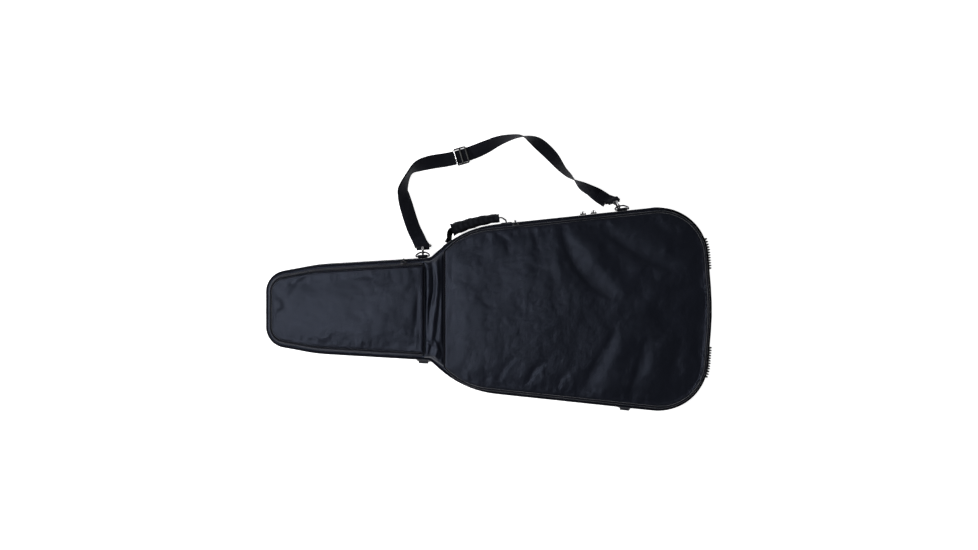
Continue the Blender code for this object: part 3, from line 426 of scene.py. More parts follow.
class Build:
    """Points and faces with UVs in metres, to be made into one mesh."""

    def __init__(self):
        self.points, self.faces, self.uvs = [], [], []

    def net(self, grid, u, v, wrap_u=False, wrap_v=False):
        """Quads through rows of points, at distances u along each row and v across the rows."""
        grid = np.asarray(grid, float)
        start, (tall, wide) = len(self.points), grid.shape[:2]
        self.points += grid.reshape(-1, 3).tolist()
        for j in range(tall if wrap_v else tall - 1):
            for i in range(wide if wrap_u else wide - 1):
                k, m = (i + 1) % wide, (j + 1) % tall
                corners = (j, i), (j, k), (m, k), (m, i)
                self.faces.append(tuple(start + row * wide + column for row, column in corners))
                self.uvs.append(((u[i], v[j]), (u[i + 1], v[j]), (u[i + 1], v[j + 1]), (u[i], v[j + 1])))
        return start

    def end(self, first, count, step=1):
        """One face over a ring of points, which are a step apart in the list."""
        self.faces.append(tuple(first + k * step for k in range(count)))
        self.uvs.append(tuple((0.001 * k, 0.0) for k in range(count)))

    def rows(self, rows, closed=True, caps=False):
        """Quads through rows of points; returns the index of the last row's first point."""
        rows = np.asarray(rows, float)
        across = np.concatenate([[0], np.cumsum(np.linalg.norm(np.diff(rows, axis=0), axis=2).mean(1))])
        start = self.net(rows, run(rows[len(rows) // 2], closed=True), across, wrap_u=closed)
        last = start + (len(rows) - 1) * len(rows[0])
        if caps:
            self.end(start, len(rows[0]))
            self.end(last, len(rows[0]))
        return last

    def cap(self, first, count, spacing, height=None):
        """Fill a ring of points with a fine net; height gives z from (points, distance to the edge)."""
        ring = np.array(self.points[first:first + count])
        low, high = ring.min(0), ring.max(0)
        columns = np.arange(low[0], high[0], spacing)
        grid = np.array([(x + spacing / 2 * (k % 2), y)
                         for k, y in enumerate(np.arange(low[1], high[1], spacing * 0.87)) for x in columns])
        a, b = ring[:, :2], np.roll(ring[:, :2], -1, 0)
        inside = np.zeros(len(grid), bool)
        for p, q in zip(a, b):
            spans = (p[1] > grid[:, 1]) != (q[1] > grid[:, 1])
            with np.errstate(divide="ignore", invalid="ignore"):
                inside ^= spans & (grid[:, 0] < (q[0] - p[0]) * (grid[:, 1] - p[1]) / (q[1] - p[1]) + p[0])
        grid = grid[inside]
        away = edge_distance(grid, ring)
        grid, away = grid[away > 0.55 * spacing], away[away > 0.55 * spacing]
        flat = [Vector(p) for p in np.concatenate([ring[:, :2], grid])]
        _, _, faces, origin, _, _ = delaunay_2d_cdt(flat, [], [list(range(count))], 1, 1e-7)
        z = np.full(len(grid), ring[:, 2].mean()) if height is None else height(grid, away)
        start = len(self.points)
        self.points += np.column_stack([grid, z]).tolist()
        for face in faces:
            used = [min(origin[i]) for i in face]
            self.uvs.append(tuple(tuple(flat[i]) for i in used))
            self.faces.append(tuple(first + i if i < count else start + i - count for i in used))

    def tube(self, line, radius, sides=8, closed=False, across=1.0):
        """Round tube along a line of points; radius is one number or one per point."""
        line = np.asarray(line, float)
        ahead = unit(np.roll(line, -1, 0) - np.roll(line, 1, 0) if closed else np.gradient(line, axis=0))
        up = np.tile(UP, (len(line), 1))
        up[np.abs(ahead[:, 2]) > 0.95] = (0.0, 1.0, 0.0)
        side = unit(np.cross(ahead, up))
        up = np.cross(side, ahead)
        radii = np.broadcast_to(radius, len(line))[:, None]
        grid = [line + radii * (side * math.cos(a) * across + up * math.sin(a))
                for a in 2 * math.pi * np.arange(sides) / sides]
        girth = 2 * math.pi * float(np.mean(radii)) / sides
        start = self.net(grid, run(line, closed=True), girth * np.arange(sides + 1), closed, True)
        if not closed:
            self.end(start, sides, len(line))
            self.end(start + len(line) - 1, sides, len(line))

    def block(self, place, size, bevel=0.25):
        """Small chamfered block in a frame; size is (x, y, z)."""
        half = Vector(size) / 2
        rows = []
        for z, k in ((-1, 1 - bevel), (-1 + bevel, 1), (1 - bevel, 1), (1, 1 - bevel)):
            rows.append([place @ Vector((half.x * a * (k if b_first else 1), half.y * b * k, half.z * z))
                         for a, b, b_first in ((-1, -1, True), (1, -1, True), (1, 1, True), (-1, 1, True))])
        self.rows(rows, caps=True)

    def make(self, name, material, smooth=60, outward=True):
        """The finished object; edges sharper than smooth degrees stay sharp."""
        mesh = bpy.data.meshes.new(name)
        mesh.from_pydata(self.points, [], self.faces)
        layer = mesh.uv_layers.new(name="UVMap")
        layer.data.foreach_set("uv", np.array([c for face in self.uvs for c in face], np.float32).ravel())
        if outward:
            work = bmesh.new()
            work.from_mesh(mesh)
            bmesh.ops.recalc_face_normals(work, faces=work.faces)
            work.to_mesh(mesh)
            work.free()
        mesh.materials.append(material)
        mesh.shade_smooth()
        mesh.set_sharp_from_angle(angle=math.radians(smooth))
        thing = bpy.data.objects.new(name, mesh)
        scene.collection.objects.link(thing)
        return thing


def displace(thing, field):
    """Move each point along its normal by field(points, normals)."""
    mesh = thing.data
    count = len(mesh.vertices)
    points, normals = np.zeros(count * 3), np.zeros(count * 3)
    mesh.vertices.foreach_get("co", points)
    mesh.vertex_normals.foreach_get("vector", normals)
    points, normals = points.reshape(-1, 3), normals.reshape(-1, 3)
    moved = points + normals * field(points, normals)[:, None]
    mesh.vertices.foreach_set("co", moved.ravel())
    mesh.update()


def done(thing, body, slot, *nodes):
    """Set what a finished piece rides on and hide the CAD nodes that it stands for; slot, its finish, is not used."""
    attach(thing, body)
    if nodes:
        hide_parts(*nodes)
    return thing


def catmull(points, step):
    """Points about a step apart along a Catmull-Rom curve; every coordinate is carried along."""
    route = [np.array(p, float) for p in points]
    route = [2 * route[0] - route[1]] + route + [2 * route[-1] - route[-2]]
    line = []
    for a, b, c, d in zip(route, route[1:], route[2:], route[3:]):
        pieces = max(1, round(float(np.linalg.norm(c[:2] - b[:2])) / step))
        for t in np.arange(pieces) / pieces:
            line.append(0.5 * (2 * b + (c - a) * t + (2 * a - 5 * b + 4 * c - d) * t ** 2
                               + (3 * b - a - 3 * c + d) * t ** 3))
    return np.array(line + [route[-2]])


def stitches(build, line, pitch, length, thick, closed=False):
    """Row of thread stitches along a line of points."""
    line = np.asarray(line, float)
    if closed:
        line = np.concatenate([line, line[:1]])
    for start in np.arange(0.0, run(line)[-1] - length, pitch):
        points = sample(line, start + length * np.array([0.0, 0.2, 0.8, 1.0]))
        points[1:3, 2] += thick * 0.6
        build.tube(points, [thick * 0.4, thick * 0.7, thick * 0.7, thick * 0.4], sides=5)


def sew(name, body, slot, lines, pitch, length, thick, closed=False):
    """Thread piece with a row of stitches along each line."""
    build = Build()
    for line in lines:
        stitches(build, line, pitch, length, thick, closed)
    done(build.make(name, THREAD), body, slot)


# ---- Shoulder strap -------------------------------------------------------------------------------
STRAP_WIDTH, STRAP_PLY, GAP = 0.032, 0.0018, 0.0003
NECK_ROUTE = [(-0.1560, 0.1440, 0), (-0.1640, 0.1620, 8), (-0.1764, 0.1888, 15), (-0.1902, 0.2323, 18),
              (-0.1970, 0.2598, 37), (-0.1982, 0.2781, 55), (-0.1833, 0.3125, 78), (-0.1627, 0.3285, 45),
              (-0.1352, 0.3377, 18), (-0.1008, 0.3437, 0), (-0.0800, 0.3479, 0)]
BODY_ROUTE = [(-0.0480, 0.3575, 0), (-0.0280, 0.3645, 14), (-0.0040, 0.3745, 32), (0.0206, 0.3858, 50),
              (0.0481, 0.3938, 70), (0.0733, 0.3972, 90), (0.0939, 0.3915, 125), (0.1168, 0.3792, 158),
              (0.1443, 0.3537, 158), (0.1695, 0.3216, 130), (0.1902, 0.3022, 112), (0.2131, 0.2838, 62),
              (0.2360, 0.2712, 43), (0.2590, 0.2575, 10), (0.2740, 0.2480, 0)]


def strap_frames(route, thickness, step=0.004):
    """Middle, across and normal at each station of flat webbing that lies on the floor."""
    stations = catmull(route, step)
    heading = unit(np.gradient(stations[:, :2], axis=0))
    lean = np.radians(stations[:, 2])
    across = np.column_stack([-heading[:, 1] * np.cos(lean), heading[:, 0] * np.cos(lean), np.sin(lean)])
    normal = np.column_stack([heading[:, 1] * np.sin(lean), -heading[:, 0] * np.sin(lean), np.cos(lean)])
    height = STRAP_WIDTH / 2 * np.abs(np.sin(lean)) + thickness / 2 * np.abs(np.cos(lean)) + GAP
    return np.column_stack([stations[:, :2], height]), across, normal


def webbing(build, middle, across, normal, width, ply, lift=0.0, columns=14):
    """Flat woven band with soft edges along a line of frames."""
    edge = np.linspace(-1, 1, columns + 1)
    upper = 0.5 * (1 - np.abs(edge) ** 8 * 0.7)
    section = list(zip(edge, upper)) + list(zip(edge[::-1], -upper[::-1]))
    ply = np.broadcast_to(ply, len(middle))[:, None]
    grid = [middle + across * (a * width / 2) + normal * (b * ply + lift) for a, b in section]
    v = np.array([a for a, _ in section + section[:1]]) * width / 2
    start, n, count = build.net(grid, run(middle), v, wrap_v=True), len(middle), len(section)
    build.end(start, count, n)
    build.end(start + n - 1, count, n)


def make_strap(name, route, plies, node):
    middle, across, normal = strap_frames(route, plies * STRAP_PLY)
    on_edge = np.exp(-(across[:, 0] ** 2 + across[:, 1] ** 2) / 0.05)
    build = Build()
    for k in range(plies):
        lift = (k - (plies - 1) / 2) * (STRAP_PLY + 0.0002)
        webbing(build, middle, across, normal, STRAP_WIDTH, (STRAP_PLY - 0.0002) * (1 + 1.3 * on_edge), lift)
    thing = done(build.make(name, WEBBING), "base", "webbing", node)
    return thing, middle


loop, loop_line = make_strap("strap_loop_web", NECK_ROUTE, 2, "strap_loop")
main, main_line = make_strap("strap_main_web", BODY_ROUTE, 1, "strap_main")

# ---- Case shells ----------------------------------------------------------------------------------
PUFF = 0.0012  # how far a side wall bulges between its seams


def wall_rows(low, high, count):
    """Rows up the side wall, bulging a little between its seams."""
    return [CASE.level(wall_inset(z) - PUFF * math.sin(math.pi * (z - low) / (high - low)), z)
            for z in np.linspace(low, high, count)]


def wall_folds(points, normals, low, high, amplitude):
    """Soft slumps and short creases of a side wall; nothing moves at its seams."""
    z = points[:, 2]
    hold = np.sin(np.pi * np.clip((z - low) / (high - low), 0, 1))
    slow = fractal(points, (9, 9, 14), 3, 3.1)
    crease = fractal(points, (45, 45, 22), 2, 9.7)
    return hold * (amplitude * slow + amplitude * 0.35 * crease) * (np.abs(normals[:, 2]) < 0.9)


def shell(name, start, wall, end, amplitude, body, nodes):
    """Outer fabric of one half: rows of (inset, z) at both ends, with the side wall between them."""
    build = Build()
    low, high, count = wall
    rows = [CASE.level(*row) for row in start] + wall_rows(low, high,
                                                           count) + [CASE.level(*row) for row in end]
    build.cap(build.rows(rows), len(rows[0]), 0.012)
    thing = build.make(name, NYLON)
    displace(thing, lambda p, n: wall_folds(p, n, min(low, high), max(low, high), amplitude))
    done(thing, body, "shell_nylon", *nodes)


shell("lid_shell", ((0.0034, 0.0650), (0.0012, 0.0636)), (0.0641, 0.0915, 9),
      ((0.0052, 0.0931), (0.0060, FRONT), (0.0080, FRONT + 0.0004), (0.0100, FRONT)), 0.0016, "lid",
      ("lid_gusset", "front_panel"))
shell("base_shell", ((0.0034, 0.0450), (0.0012, 0.0464)), (0.0459, 0.0040, 11),
      ((0.0078, 0.0022), (0.0090, 0.0004), (0.0120, 0.0001)), 0.0018, "base", ("base_gusset", "back_panel"))


def lining(name, rim, floor, body, nodes):
    """Soft tray inside one half: binding over the foam's rim, padded wall and quilted floor."""
    build = Build()
    step = 1 if floor < rim else -1
    rows = [(0.0021, rim - 0.004 * step), (0.0026, rim), (0.0060, rim + 0.0010 * step), (0.0104, rim),
            (0.0116, rim - 0.003 * step)]
    rows += [(wall_inset(z) + 0.0112, z) for z in np.linspace(rim - 0.008 * step, floor + 0.004 * step, 5)]
    rows += [(wall_inset(floor) + 0.0126, floor + 0.0008 * step), (wall_inset(floor) + 0.0170, floor)]
    rows = [CASE.level(*row) for row in rows]

    def quilted(points, away):
        swell = np.abs(fractal(np.column_stack([points, points[:, 0] * 0]), 6, 3))
        return floor + step * 0.0010 * swell * smooth_step(away, 0, 0.03)

    build.cap(build.rows(rows), len(rows[0]), 0.008, quilted)
    thing = build.make(name, LINING, outward=False)
    thing.data.flip_normals()
    return done(thing, body, "lining", *nodes)


lining("base_lining_soft", 0.0530, 0.0106, "base", ("base_lining", "base_gusset_foam", "back_foam"))
lining("lid_lining_soft", 0.0570, 0.0837, "lid", ("lid_lining", "lid_gusset_foam", "front_foam"))


# ---- Seam pipings ---------------------------------------------------------------------------------
def cord_piping(name, line, radius, body, node, sunk=0.0):
    """Covered cord in a seam; sunk is 1 where it sinks into the seam."""
    build = Build()
    wave = fractal(line, 25, 2, 5.0)
    moved = line + UP * (wave * 0.0004 - 0.0030 * sunk)[:, None]
    build.tube(moved, radius * (1 + 0.06 * wave - 0.35 * sunk), 10, closed=True)
    return done(build.make(name, PIPING), body, "dark_nylon", node)


cord_piping("front_piping_cord", CASE.level(0.0029, 0.0919), 0.0022, "lid", "front_piping")
cord_piping("back_piping_cord", CASE.level(0.0051, 0.0026), 0.0022, "base", "back_piping")

# ---- Main zip -------------------------------------------------------------------------------------
zip_count = len(CASE.at(0.0)) - CASE.pieces[-1] + 1


def open_line(inset, z):
    """The zip's part of the case's outline, without the fold."""
    return CASE.level(inset, z)[:zip_count]


def evenly(line, pitch):
    """Points and headings at an even pitch along a line."""
    spots = np.arange(pitch / 2, run(line)[-1], pitch)
    points = sample(line, spots)
    ahead = sample(line, spots + pitch / 2) - points
    return points, ahead / np.maximum(np.linalg.norm(ahead, axis=1)[:, None], 1e-9)


def row_of_teeth(build, points, ahead, size, shift=0.0):
    """Zip teeth in frames along a line, moved along it by a shift."""
    for point, heading in zip(points, ahead):
        build.block(facing(point, heading) @ Matrix.Translation((shift, 0.0, 0.0)), size, 0.3)


def zip_half(side, label):
    """Tape, teeth and stitches of the lid's (1) or the base's (-1) half of the zip."""
    tape = Build()
    rows = ((0.0022, 0.0012), (0.0008, 0.0012), (0.0003, 0.0050), (0.0005, 0.0088), (0.0022, 0.0092))
    tape.rows([open_line(inset, ZIP + side * height) for inset, height in rows], closed=False)
    done(tape.make("zip_tape_" + label + "_web", TAPE), label, "zip")
    teeth = Build()
    row_of_teeth(teeth, *evenly(open_line(-0.0002, ZIP + side * 0.0012), 0.0026), (0.00115, 0.0021, 0.0019),
                 0.00065 * side)
    done(teeth.make("zip_teeth_" + label, BLACK_PLASTIC, 20), label, "zip", "zip_tape_" + label)
    sew("zip_stitches_" + label, label, "zip", [open_line(0.0, ZIP + side * 0.0074)], 0.0038, 0.0026, 0.0004)


zip_half(-1, "base")
zip_half(1, "lid")

# Fabric fold that joins the halves along the far side
fold_line = CASE.level(0.0, ZIP)
fold_line = np.concatenate([fold_line[zip_count - 1:], fold_line[:1]])
middle = fold_line.mean(0)
fold_out = np.array(beside(CASE.coarse(0.0), middle[0], -1, ZIP).col[1].xyz)
FOLD_HALF = 0.0098
fold = Build()
fold.rows([fold_line + fold_out * (0.0006 + 0.0022 * math.cos(math.pi / 2 * 0.98 * z / FOLD_HALF) ** 2) + UP * z
           for z in np.linspace(-FOLD_HALF, FOLD_HALF, 15)], closed=False)
fold_web = fold.make("fold_web_strip", DARK_NYLON)
displace(fold_web, lambda p, n: 0.0003 * fractal(p, 70, 2))
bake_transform(fold_web)
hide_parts("fold_web_base", "fold_web_lid")

# ---- Pockets on the front -------------------------------------------------------------------------
FOOT = FRONT + 0.0003
FOOT_INSET = 0.0085
BODY_FOLDS = [
    ([(0.158, 0.205), (0.170, 0.140), (0.196, 0.088), (0.228, 0.052), (0.275, 0.024)], 0.016, -0.0026, 0.5),
    ([(0.176, 0.205), (0.196, 0.160), (0.232, 0.116), (0.268, 0.072), (0.310, 0.030)], 0.026, 0.0024, 0.3),
    ([(0.205, 0.205), (0.240, 0.160), (0.278, 0.112), (0.315, 0.068)], 0.018, -0.0014, 0.0),
    ([(0.145, 0.200), (0.140, 0.150), (0.150, 0.098), (0.170, 0.052)], 0.014, 0.0010, 0.0),
    ([(0.240, 0.190), (0.290, 0.148), (0.350, 0.112), (0.430, 0.078)], 0.016, -0.0022, 0.4),
    ([(0.268, 0.205), (0.325, 0.166), (0.385, 0.136), (0.462, 0.100)], 0.026, 0.0022, 0.2),
    ([(0.350, 0.205), (0.385, 0.176), (0.425, 0.160), (0.466, 0.152)], 0.012, -0.0014, 0.2),
    ([(0.340, 0.088), (0.375, 0.062), (0.425, 0.048), (0.480, 0.052)], 0.020, -0.0024, 0.3),
    ([(0.350, 0.040), (0.400, 0.014), (0.450, 0.010), (0.484, 0.020)], 0.024, 0.0012, 0.0),
    ([(0.284, -0.040), (0.262, -0.078), (0.232, -0.128), (0.210, -0.176)], 0.014, -0.0018, 0.4),
    ([(0.310, -0.030), (0.290, -0.084), (0.264, -0.138), (0.248, -0.190)], 0.020, 0.0015, 0.1),
    ([(0.352, -0.060), (0.334, -0.116), (0.320, -0.164), (0.308, -0.206)], 0.013, -0.0019, 0.4),
    ([(0.392, -0.050), (0.372, -0.110), (0.352, -0.166), (0.340, -0.208)], 0.022, 0.0018, 0.1),
    ([(0.430, -0.060), (0.414, -0.120), (0.392, -0.176)], 0.016, -0.0014, 0.2),
    ([(0.060, 0.118), (0.105, 0.076), (0.160, 0.048)], 0.026, 0.0008, 0.0),
    ([(-0.010, 0.095), (0.035, 0.022), (0.110, -0.032)], 0.030, -0.0008, 0.0),
    ([(-0.060, -0.050), (0.000, -0.070), (0.090, -0.060)], 0.028, 0.0007, 0.0),
    ([(0.020, -0.160), (0.034, -0.130), (0.060, -0.105)], 0.007, -0.0012, 0.3),
    ([(0.085, -0.168), (0.098, -0.138), (0.124, -0.116)], 0.007, -0.0013, 0.3),
    ([(0.112, -0.172), (0.120, -0.150), (0.116, -0.128)], 0.006, 0.0010, 0.0),
    ([(0.150, -0.178), (0.162, -0.150), (0.190, -0.132)], 0.008, -0.0014, 0.3),
    ([(0.182, -0.184), (0.186, -0.160), (0.176, -0.138)], 0.006, 0.0010, 0.0),
    ([(0.020, 0.170), (0.040, 0.150), (0.044, 0.120)], 0.008, -0.0009, 0.3),
    ([(0.090, 0.180), (0.104, 0.160), (0.104, 0.130)], 0.008, -0.0009, 0.3),
]
NECK_FOLDS = [
    ([(-0.405, 0.080), (-0.4125, 0.071), (-0.430, 0.048), (-0.4454, 0.024)], 0.008, -0.0026, 0.2),
    ([(-0.478, 0.034), (-0.4554, 0.024), (-0.452, 0.002), (-0.482, -0.020)], 0.010, -0.0020, 0.2),
    ([(-0.484, 0.020), (-0.466, 0.010), (-0.484, -0.004)], 0.009, 0.0014, 0.0),
    ([(-0.486, 0.036), (-0.488, 0.010), (-0.486, -0.030)], 0.005, -0.0024, 0.0),
    ([(-0.400, 0.024), (-0.3818, 0.025), (-0.3269, 0.027), (-0.300, 0.026)], 0.012, 0.0012, 0.2),
    ([(-0.440, -0.020), (-0.400, -0.045), (-0.350, -0.062)], 0.016, 0.0012, 0.0),
    ([(-0.160, 0.070), (-0.185, 0.030), (-0.190, -0.020)], 0.012, -0.0009, 0.0),
    ([(-0.152, 0.050), (-0.160, 0.000), (-0.166, -0.060)], 0.007, -0.0014, 0.2),
]


def seam_inset(panel_inset, z):
    """Inset of a pocket's sloping side at a height."""
    return FOOT_INSET + (z - FOOT) / (POCKET_TOP - FOOT) * (panel_inset - FOOT_INSET)


def seam_place(outline, panel_inset, x, side, out):
    """Frame beside the seam where a pocket opens, on the slope just under it."""
    return beside(outline.coarse(seam_inset(panel_inset, SEAM - 0.0003), 0.0), x, side, SEAM, out)


def pocket(label, outline, panel_inset, end_x, fold_x, folds, tilt):
    """Soft pocket: skirt on the lid, then the flap with its crowned, folded panel and piping."""
    flap_body = label + "_pocket_flap"

    def ring(z, depth=0.0):
        bulge = 0.0010 * math.sin(math.pi * min(1.0, (z - FOOT) / (POCKET_TOP - FOOT)))
        return outline.level(seam_inset(panel_inset, z) + depth - bulge, z, depth)

    skirt = Build()
    skirt.rows([ring(*row) for row in (
        (FOOT, 0.002), (FOOT + 0.0002,), (0.0960,), (0.0985,), (0.1010,), (SEAM - 0.0008,), (SEAM - 0.0008,
                                                                                             0.0016),
        (SEAM - 0.003, 0.0020))])
    skirt = skirt.make(label + "_pocket_skirt", NYLON)
    displace(skirt, lambda p, n: wall_folds(p, n, FOOT, SEAM, 0.0008))
    done(skirt, "lid", "shell_nylon", label + "_pocket_gusset")

    top = POCKET_TOP + 0.0014
    rows = [ring(*row) for row in ((SEAM + 0.003, 0.0020), (SEAM + 0.0008, 0.0016), (SEAM + 0.0008,),
                                   (0.1065,),
                                   (0.1095,), (0.1120,))]
    rows += [outline.level(panel_inset + 0.0002, top - 0.0006, 0.0006),
             outline.level(panel_inset + 0.0018, top, 0.0022)]

    def panel(points, away):
        spots = np.column_stack([points, np.zeros(len(points))])
        z = top + 0.0030 * smooth_step(away, 0.0, 0.045) + tilt(points)
        for line, width, height, skew in folds:
            z = z + ridge(points, line, 0.95 * width, height, skew) * smooth_step(away, 0.0, 0.012)
        waves = 0.0018 * fractal(spots, 7, 2, 2.0) + 0.0011 * fractal(spots, 22, 3, 8.0)
        pucker = fractal(spots, (70, 18, 1), 2, 4.0) * np.exp(-((away - 0.010) / 0.009) ** 2)
        return z + smooth_step(away, 0.0, 0.018) * waves + 0.0010 * pucker

    flap = Build()
    flap.cap(flap.rows(rows), len(rows[0]), 0.0036, panel)
    flap = flap.make(label + "_pocket_cover", NYLON, 50)
    done(flap, flap_body, "shell_nylon", label + "_pocket_rim", label + "_pocket_panel")
    line = outline.level(panel_inset - 0.0025, top - 0.0002, -0.0025)
    sunk = smooth_step(-np.abs(line[:, 0] - end_x), -0.012, -0.002)
    cord_piping(label + "_pocket_piping_cord", line, 0.0022, flap_body, label + "_pocket_piping", sunk)
    sew(label + "_pocket_stitches", flap_body, "dark_nylon",
        [outline.level(panel_inset + 0.0042, top + 0.0004, 0.0050)], 0.0044, 0.0030, 0.0004, closed=True)

    fold = seam_place(outline, panel_inset, fold_x, -1, 0.0007)
    across_fold, fold_spot = np.array(fold.col[1].xy), np.array(fold.translation.xy)
    for part, z, body in (("lid", SEAM - 0.0007, "lid"), ("flap", SEAM + 0.0007, flap_body)):
        coil = Build()
        points, ahead = evenly(outline.level(seam_inset(panel_inset, SEAM) - 0.0010, z, -0.0008), 0.0022)
        loose = np.abs((points[:, :2] - fold_spot) @ across_fold) > 0.006  # no teeth on the fold
        row_of_teeth(coil, points[loose], ahead[loose], (0.0012, 0.0014, 0.0012))
        done(coil.make(label + "_pocket_zip_" + part, BLACK_PLASTIC, 20), body, "zip")


def body_tilt(points):
    """The body is fullest at its middle left and sinks towards its far right corner."""
    x, y = points[:, 0], points[:, 1]
    crown = 0.0020 * np.exp(-((x - 0.12) / 0.20) ** 2 - (y / 0.15) ** 2)
    return crown - 0.0022 * smooth_step(x - 0.5 * y, 0.33, 0.50)


def neck_tilt(points):
    """The neck is fullest just left of its middle."""
    x, y = points[:, 0], points[:, 1]
    return 0.0016 * np.exp(-((x + 0.29) / 0.11) ** 2 - ((y + 0.02) / 0.06) ** 2)


BODY_PANEL_INSET, NECK_PANEL_INSET = 0.014, 0.018
pocket("body", BODY_POCKET, BODY_PANEL_INSET, BODY_START, 0.200, BODY_FOLDS, body_tilt)
pocket("neck", NECK_POCKET, NECK_PANEL_INSET, NECK_STOP, -0.260, NECK_FOLDS, neck_tilt)

# ---- Band between the pockets ---------------------------------------------------------------------
BAND_INSET = 0.0085
band_start, band_end = NECK_STOP + 0.0014, BODY_START - 0.0014
band_near = [(band_end + BAND_INSET, half_at(band_end), 0.003), (NECK_ROOT_X, NECK_ROOT_HALF, 0.010),
             (band_start - BAND_INSET, half_at(band_start), 0.003)]
JOIN = Outline(band_near + mirrored(band_near), 0.003)
join = Build()
JOIN_TOP = 0.1085
rows = [JOIN.level(*row) for row in ((BAND_INSET, FOOT), (0.0070, 0.0985), (0.0082, 0.1050),
                                     (0.0110, JOIN_TOP))]
for row in rows:
    row[:, 0] = np.clip(row[:, 0], band_start, band_end)
JOIN_FOLDS = [
    ([(-0.1425, 0.105), (-0.1420, 0.042), (-0.1445, -0.013), (-0.1430, -0.053), (-0.1380, -0.093)], 0.0040,
     -0.0030, 0.0),
    ([(-0.1370, 0.108), (-0.1345, 0.042), (-0.1400, -0.013), (-0.1390, -0.060)], 0.0050, 0.0024, 0.0),
    ([(-0.1280, 0.112), (-0.1235, 0.075), (-0.1225, 0.042), (-0.1310, 0.008), (-0.1335, -0.013),
      (-0.1360, -0.060)],
     0.0045, -0.0040, 0.2),
    ([(-0.1180, 0.120), (-0.1150, 0.060), (-0.1180, 0.010), (-0.1260, -0.040), (-0.1310, -0.085)], 0.0060,
     0.0030, 0.2),
    ([(-0.1080, 0.125), (-0.1070, 0.050), (-0.1120, -0.010), (-0.1160, -0.050), (-0.1240, -0.090)], 0.0042,
     -0.0032, 0.0),
    ([(-0.1360, -0.070), (-0.1280, -0.082), (-0.1330, -0.100)], 0.0036, -0.0036, 0.0),
    ([(-0.1220, -0.066), (-0.1140, -0.088), (-0.1200, -0.108)], 0.0036, 0.0036, 0.0),
    ([(-0.1100, -0.072), (-0.1040, -0.095), (-0.1090, -0.114)], 0.0032, -0.0030, 0.0),
    ([(-0.1400, 0.090), (-0.1330, 0.098), (-0.1220, 0.104)], 0.0040, -0.0024, 0.0),
]


def join_height(points, away):
    spots = np.column_stack([points, np.zeros(len(points))])
    z = JOIN_TOP + 0.0046 * smooth_step(away, 0.0, 0.006)
    for line, width, height, skew in JOIN_FOLDS:
        z = z + ridge(points, line, width, height, skew) * smooth_step(away, 0.0, 0.005)
    return z + 0.0014 * fractal(spots, (60, 22, 1), 3, 1.0) * smooth_step(away, 0.0, 0.006)


join.cap(join.rows(rows), len(rows[0]), 0.0024, join_height)
join_cover = join.make("join_band_cover", NYLON, 70)
done(join_cover, "lid", "dark_nylon", "neck_join_band")


# ---- Ring tabs and rings --------------------------------------------------------------------------
WALL = CASE.coarse(0.0)
RING_WIRE, RING_WIDTH, RING_DEPTH = 0.0040, 0.034, 0.0165
TAB_WIDTH, TAB_PLY, TAB_LENGTH = 0.022, 0.0014, 0.020
LOOP_RADIUS = RING_WIRE / 2 + GAP + TAB_PLY / 2
BAR_OUT = 0.0012 + TAB_PLY / 2 + LOOP_RADIUS
RING_DROOP, FAR_DROOP = 56, 75
STRAP_TAB_Z, FAR_TAB_Z = 0.0475, 0.0205
# Label, body of the ring, x, side of the case, height, where the tab is sewn (1 above its loop), droop in degrees
RING_TABS = (("neck_strap", "neck_hook", -0.151, 1, STRAP_TAB_Z, -1, RING_DROOP),
             ("body_strap", "body_hook", 0.304, 1, STRAP_TAB_Z, -1, RING_DROOP),
             ("neck_far", "ring_neck_far", -0.150, -1, FAR_TAB_Z, 1, FAR_DROOP),
             ("body_far", "ring_body_far", 0.313, -1, FAR_TAB_Z, 1, FAR_DROOP))


def ring_line():
    """Middle line of a D-ring: straight bar at y = 0, slanted corners at its far side."""
    half = RING_WIDTH / 2 - RING_WIRE / 2
    corners = [(half, 0.0, 0.002), (half, RING_DEPTH * 0.45, 0.006), (half * 0.45, RING_DEPTH, 0.005)]
    flat = rounded(corners + [(-x, y, radius) for x, y, radius in reversed(corners)])
    return np.column_stack([flat, np.zeros(len(flat))])


def ring_tab(label, place, sewn):
    """Webbing folded round a ring's bar, sewn down above (1) or below (-1) it."""
    inner = -LOOP_RADIUS
    path = [(inner, TAB_LENGTH), (inner, 0.010), (inner, 0.0)] + arc((0, 0), LOOP_RADIUS, 180, 360, 12)[1:]
    path += [(LOOP_RADIUS * 0.8, 0.0036), (inner + 0.0022, 0.0085), (inner + 0.0019, 0.0125),
             (inner + 0.0019, TAB_LENGTH)]
    path = np.array(path)
    if sewn > 0:  # the tab bulges where it lies on the wall's slope
        path[:, 0] += 0.0070 * np.sin(np.pi * np.clip(path[:, 1] / 0.014, 0, 1))
    turn = place.to_3x3()
    normal = np.array([turn @ Vector((0, -up, out * sewn)) for out, up in unit(np.gradient(path, axis=0))])
    tab = Build()
    webbing(tab, at(place, [(0, out, up * sewn) for out, up in path]), np.tile(turn.col[0], (len(path), 1)),
            normal,
            TAB_WIDTH, TAB_PLY, columns=10)
    done(tab.make("ring_tab_" + label + "_web", WEBBING), "base", "webbing", "ring_tab_" + label)
    half, out, low, high = 0.0095, inner + 0.0028, 0.0105 * sewn, 0.0175 * sewn
    lines = [np.linspace((-half, out, up), (half, out, up), 12) for up in (low, high)]
    lines += [np.linspace((x, out, low), (x, out, high), 6) for x in (-half, half)]
    sew("ring_tab_" + label + "_thread", "base", "webbing", [at(place, line) for line in lines], 0.0024,
        0.0017,
        0.0004)


rings = {}
for label, body, x, side, z, sewn, droop in RING_TABS:
    bar = beside(WALL, x, side, z, BAR_OUT)
    rings[label] = bar @ Matrix.Rotation(math.radians(-droop), 4, "X")
    wire = Build()
    wire.tube(at(rings[label], ring_line()), RING_WIRE / 2, 12, closed=True)
    done(wire.make("ring_" + label + "_wire", DARK_STEEL), body, "steel", "ring_" + label)
    ring_tab(label, bar, sewn)

